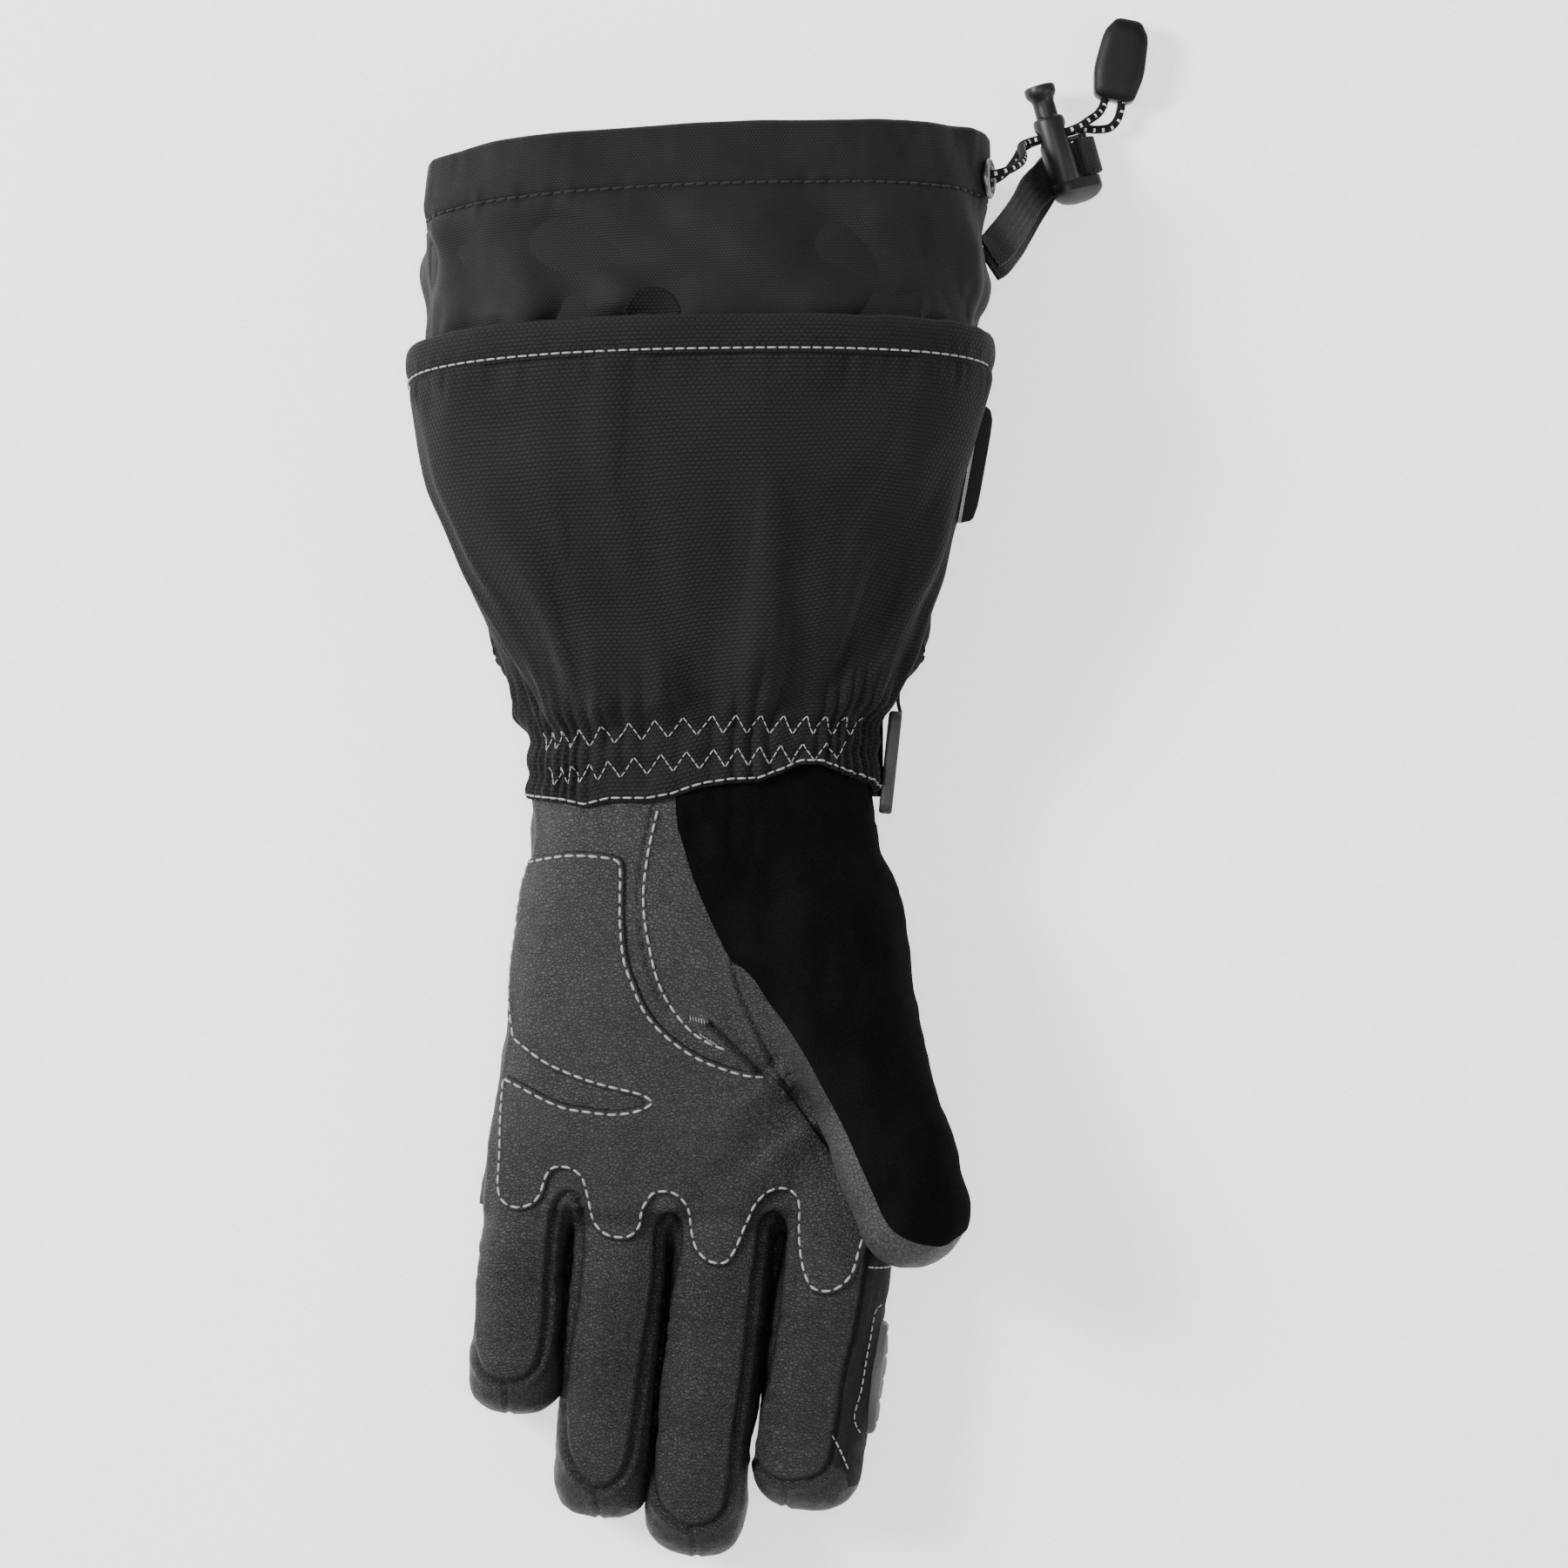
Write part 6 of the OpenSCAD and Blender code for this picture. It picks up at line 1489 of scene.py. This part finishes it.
# ------------------------------------------------------------------ index finger: guard and stitches
r_, x0_, lean_, *_ = FING["index"]
la = math.radians(lean_)
dd, uu_ = np.array([-math.sin(la), -math.cos(la), 0]), np.array([math.cos(la), -math.sin(la), 0])
ax0 = np.array([x0_, -90, r_])
ns, nf = 64, 26
S_, A_ = np.meshgrid(np.linspace(40.5, 71.5, ns), np.linspace(0, 1, nf), indexing="ij")
amax = 8 + 24 * np.sqrt(np.clip(1 - ((S_ - 56) / 15.6) ** 2, 0, 1))
A_ = np.radians(-58 + (amax + 58) * A_)
V = np.zeros((ns, nf, 3))
for i in range(ns):
    for j in range(nf):
        dr = math.cos(A_[i, j]) * uu_ + math.sin(A_[i, j]) * np.array([0, 0, 1])
        o = ax0 + dd * S_[i, j] + dr * 35
        h = TREE.ray_cast(Vector(o), Vector(-dr))
        V[i, j] = h[0] if h[0] is not None else o - dr * 20
q = np.minimum(np.minimum(S_ - 40.5, 71.5 - S_), np.minimum(A_ - math.radians(-58), np.radians(amax) - A_) * 15)
# rounded corners of the guard
hh = -0.5 + 2.4 * np.sqrt(np.clip(1 - (1 - np.clip(q / 1.5, 0, 1)) ** 2, 0, 1))
hh -= 0.75 * np.exp(-((q - 3.2) / 0.5) ** 2)
hh -= 0.5 * (q > 4) * np.exp(-(((S_ - 40.5) % 6.2 - 3.1) / 0.6) ** 2)
DR = np.cos(A_)[..., None] * uu_ + np.sin(A_)[..., None] * np.array([0, 0, 1])
V = (V + DR * hh[..., None]).reshape(-1, 3)
F = grid_faces(nf, ns, wrap=False)
N = vertex_normals(V, F)
if (N * DR.reshape(-1, 3)).sum() < 0: F = F[:, ::-1]; N = -N
gl = np.where(S_.reshape(-1)[F].mean(1) > CUT["index"], "index_B", "index_A").astype(object)
first = True
for l, v_, f_, n_, a_, _ in split(V, F, N, gl, {"dark": np.zeros(len(V))}):
    o = make("index_guard_" + l, v_, f_, M_GUARD, normals=n_, attrs=a_)
    attach(o, l)
    if first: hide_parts("index_guard"); first = False

def line_stitches(pts, **kw):
    P, N = lay(pts, TREE, f_all, 0.05)
    runs = capsule_run(P, N, **kw)
    if not runs: return
    L = labels_of(np.array([c for _, _, c in runs]))
    for rn, l in zip(runs, L): add_stitches(l, [rn])
line_stitches([(48.6, -126.6), (46.8, -128.0), (46.0, -131), (45.2, -136), (44.2, -141), (42.8, -149.5), (41.2, -155), (41.0, -158.2), (42.6, -161.6)], pitch=2.5, length=1.7, r=0.2)
line_stitches([(44.6, -116.0), (47.4, -116.4), (51.2, -116.6)], pitch=1.9, length=1.4, r=0.24)
line_stitches([(34.8, -161.4), (37, -165.4), (39.3, -171.2)], pitch=2.2, length=1.7, r=0.22)

# ------------------------------------------------------------------ pad on the back of the hand (the side the glove lies on)
from mathutils.geometry import delaunay_2d_cdt as cdt
core = np.array([[-28, -2], [28, -2], [33, -40], [30, -66], [-36, -66], [-34, -30]], float)
cen = core.mean(0)
po_ = []
for i in range(6):
    p, a, b = core[i], core[i - 1], core[(i + 1) % 6]
    n1 = np.array([(p - a)[1], -(p - a)[0]]); n1 /= np.linalg.norm(n1)
    n2 = np.array([(b - p)[1], -(b - p)[0]]); n2 /= np.linalg.norm(n2)
    if n1 @ (p - cen) < 0: n1 = -n1
    if n2 @ (p - cen) < 0: n2 = -n2
    a1, a2 = math.atan2(n1[1], n1[0]), math.atan2(n2[1], n2[0])
    da = (a2 - a1 + math.pi) % (2 * math.pi) - math.pi
    for k in range(9):
        t = a1 + da * k / 8
        po_.append(p + 9 * np.array([math.cos(t), math.sin(t)]))
PO = smooth_line(po_, closed=True, step=1.2)
pts = [PO]
for q in (0.3, 0.8, 1.5, 2.4, 3.4): pts.append(inset(PO, q)[::(1 if q < 1 else 2)])
lo, hi = PO.min(0), PO.max(0)
gx, gy = np.meshgrid(np.arange(lo[0], hi[0], 1.6), np.arange(lo[1], hi[1], 1.4)); gx[1::2] += 0.8
G = np.stack([gx.ravel(), gy.ravel()], 1); G = G[inside(G, PO)]
dG, _ = seg_dist(G, PO, True); pts.append(G[dG > 4])
Q = np.concatenate(pts); n = len(PO)
res = cdt([Vector(p) for p in Q], [(i, (i + 1) % n) for i in range(n)], [], 1, 1e-6)
Q = np.array([p[:] for p in res[0]]); F = np.array([f for f in res[2] if len(f) == 3])
dQ, _ = seg_dist(Q, PO, True)
z = 3.4 - 3.4 * np.sqrt(np.clip(1 - (1 - np.clip(dQ / 2.6, 0, 1)) ** 2, 0, 1))
quilt = [np.array(l, float) for l in ([(-34, -28), (33, -28)], [(-35, -50), (32, -50)], [(-31, -12), (30, -12)])]
for l in quilt:
    dl_, _ = seg_dist(Q, l); z += 0.9 * np.exp(-(dl_ / 1.4) ** 2) * (dQ > 4)
z += 0.7 * np.exp(-((dQ - 4.2) / 1.0) ** 2)
z += 0.15 * (1 + noise(np.column_stack([Q / 9, 0 * Q[:, 0]]), 91)) * (dQ > 2)
V = np.column_stack([Q, z])
N = vertex_normals(V, F)
if N[:, 2].mean() > 0: F = F[:, ::-1]; N = -N
pad = make("back_pad_v", V, F, M_BACK, normals=N, uv=Q, attrs={"dark": np.zeros(len(V))})
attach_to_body(pad, "hand"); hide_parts("back_pad")
for l in quilt + [np.vstack([inset(PO, 4.2), inset(PO, 4.2)[:1]])]:
    L_ = smooth_line(l, step=1.0) if len(l) == 2 else l
    P = np.column_stack([L_, np.full(len(L_), 0.95)])
    add_stitches("hand_dark", capsule_run(P, np.tile([0, 0, -1.0], (len(P), 1)), pitch=3.2, length=2.4, r=0.3))

# seams up both sides of the gauntlet
for t in (-7.0, 187.0):
    yy = np.linspace(41, 120, 120)
    P, N = gaunt_at(np.full(120, t), yy, 0.05)
    add_stitches("dark", capsule_run(P, N, pitch=3.2, length=2.4, r=0.28))

# ------------------------------------------------------------------ the stitches, one mesh for each piece of the glove
for l_, runs in STITCH.items():
    if not runs: continue
    V, F = join_parts([(v, f) for v, f, c in runs])
    dk_ = l_ in ("dark", "hand_dark")
    o = make("stitches_" + l_, V, F, M_THREAD_DARK if dk_ else M_THREAD)
    if l_ in ("gauntlet", "dark"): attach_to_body(o, "gauntlet")
    elif l_ == "wrist": blend_wrist(o)
    elif l_ in ("palm", "hand_dark"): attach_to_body(o, "hand")
    else: attach(o, l_)
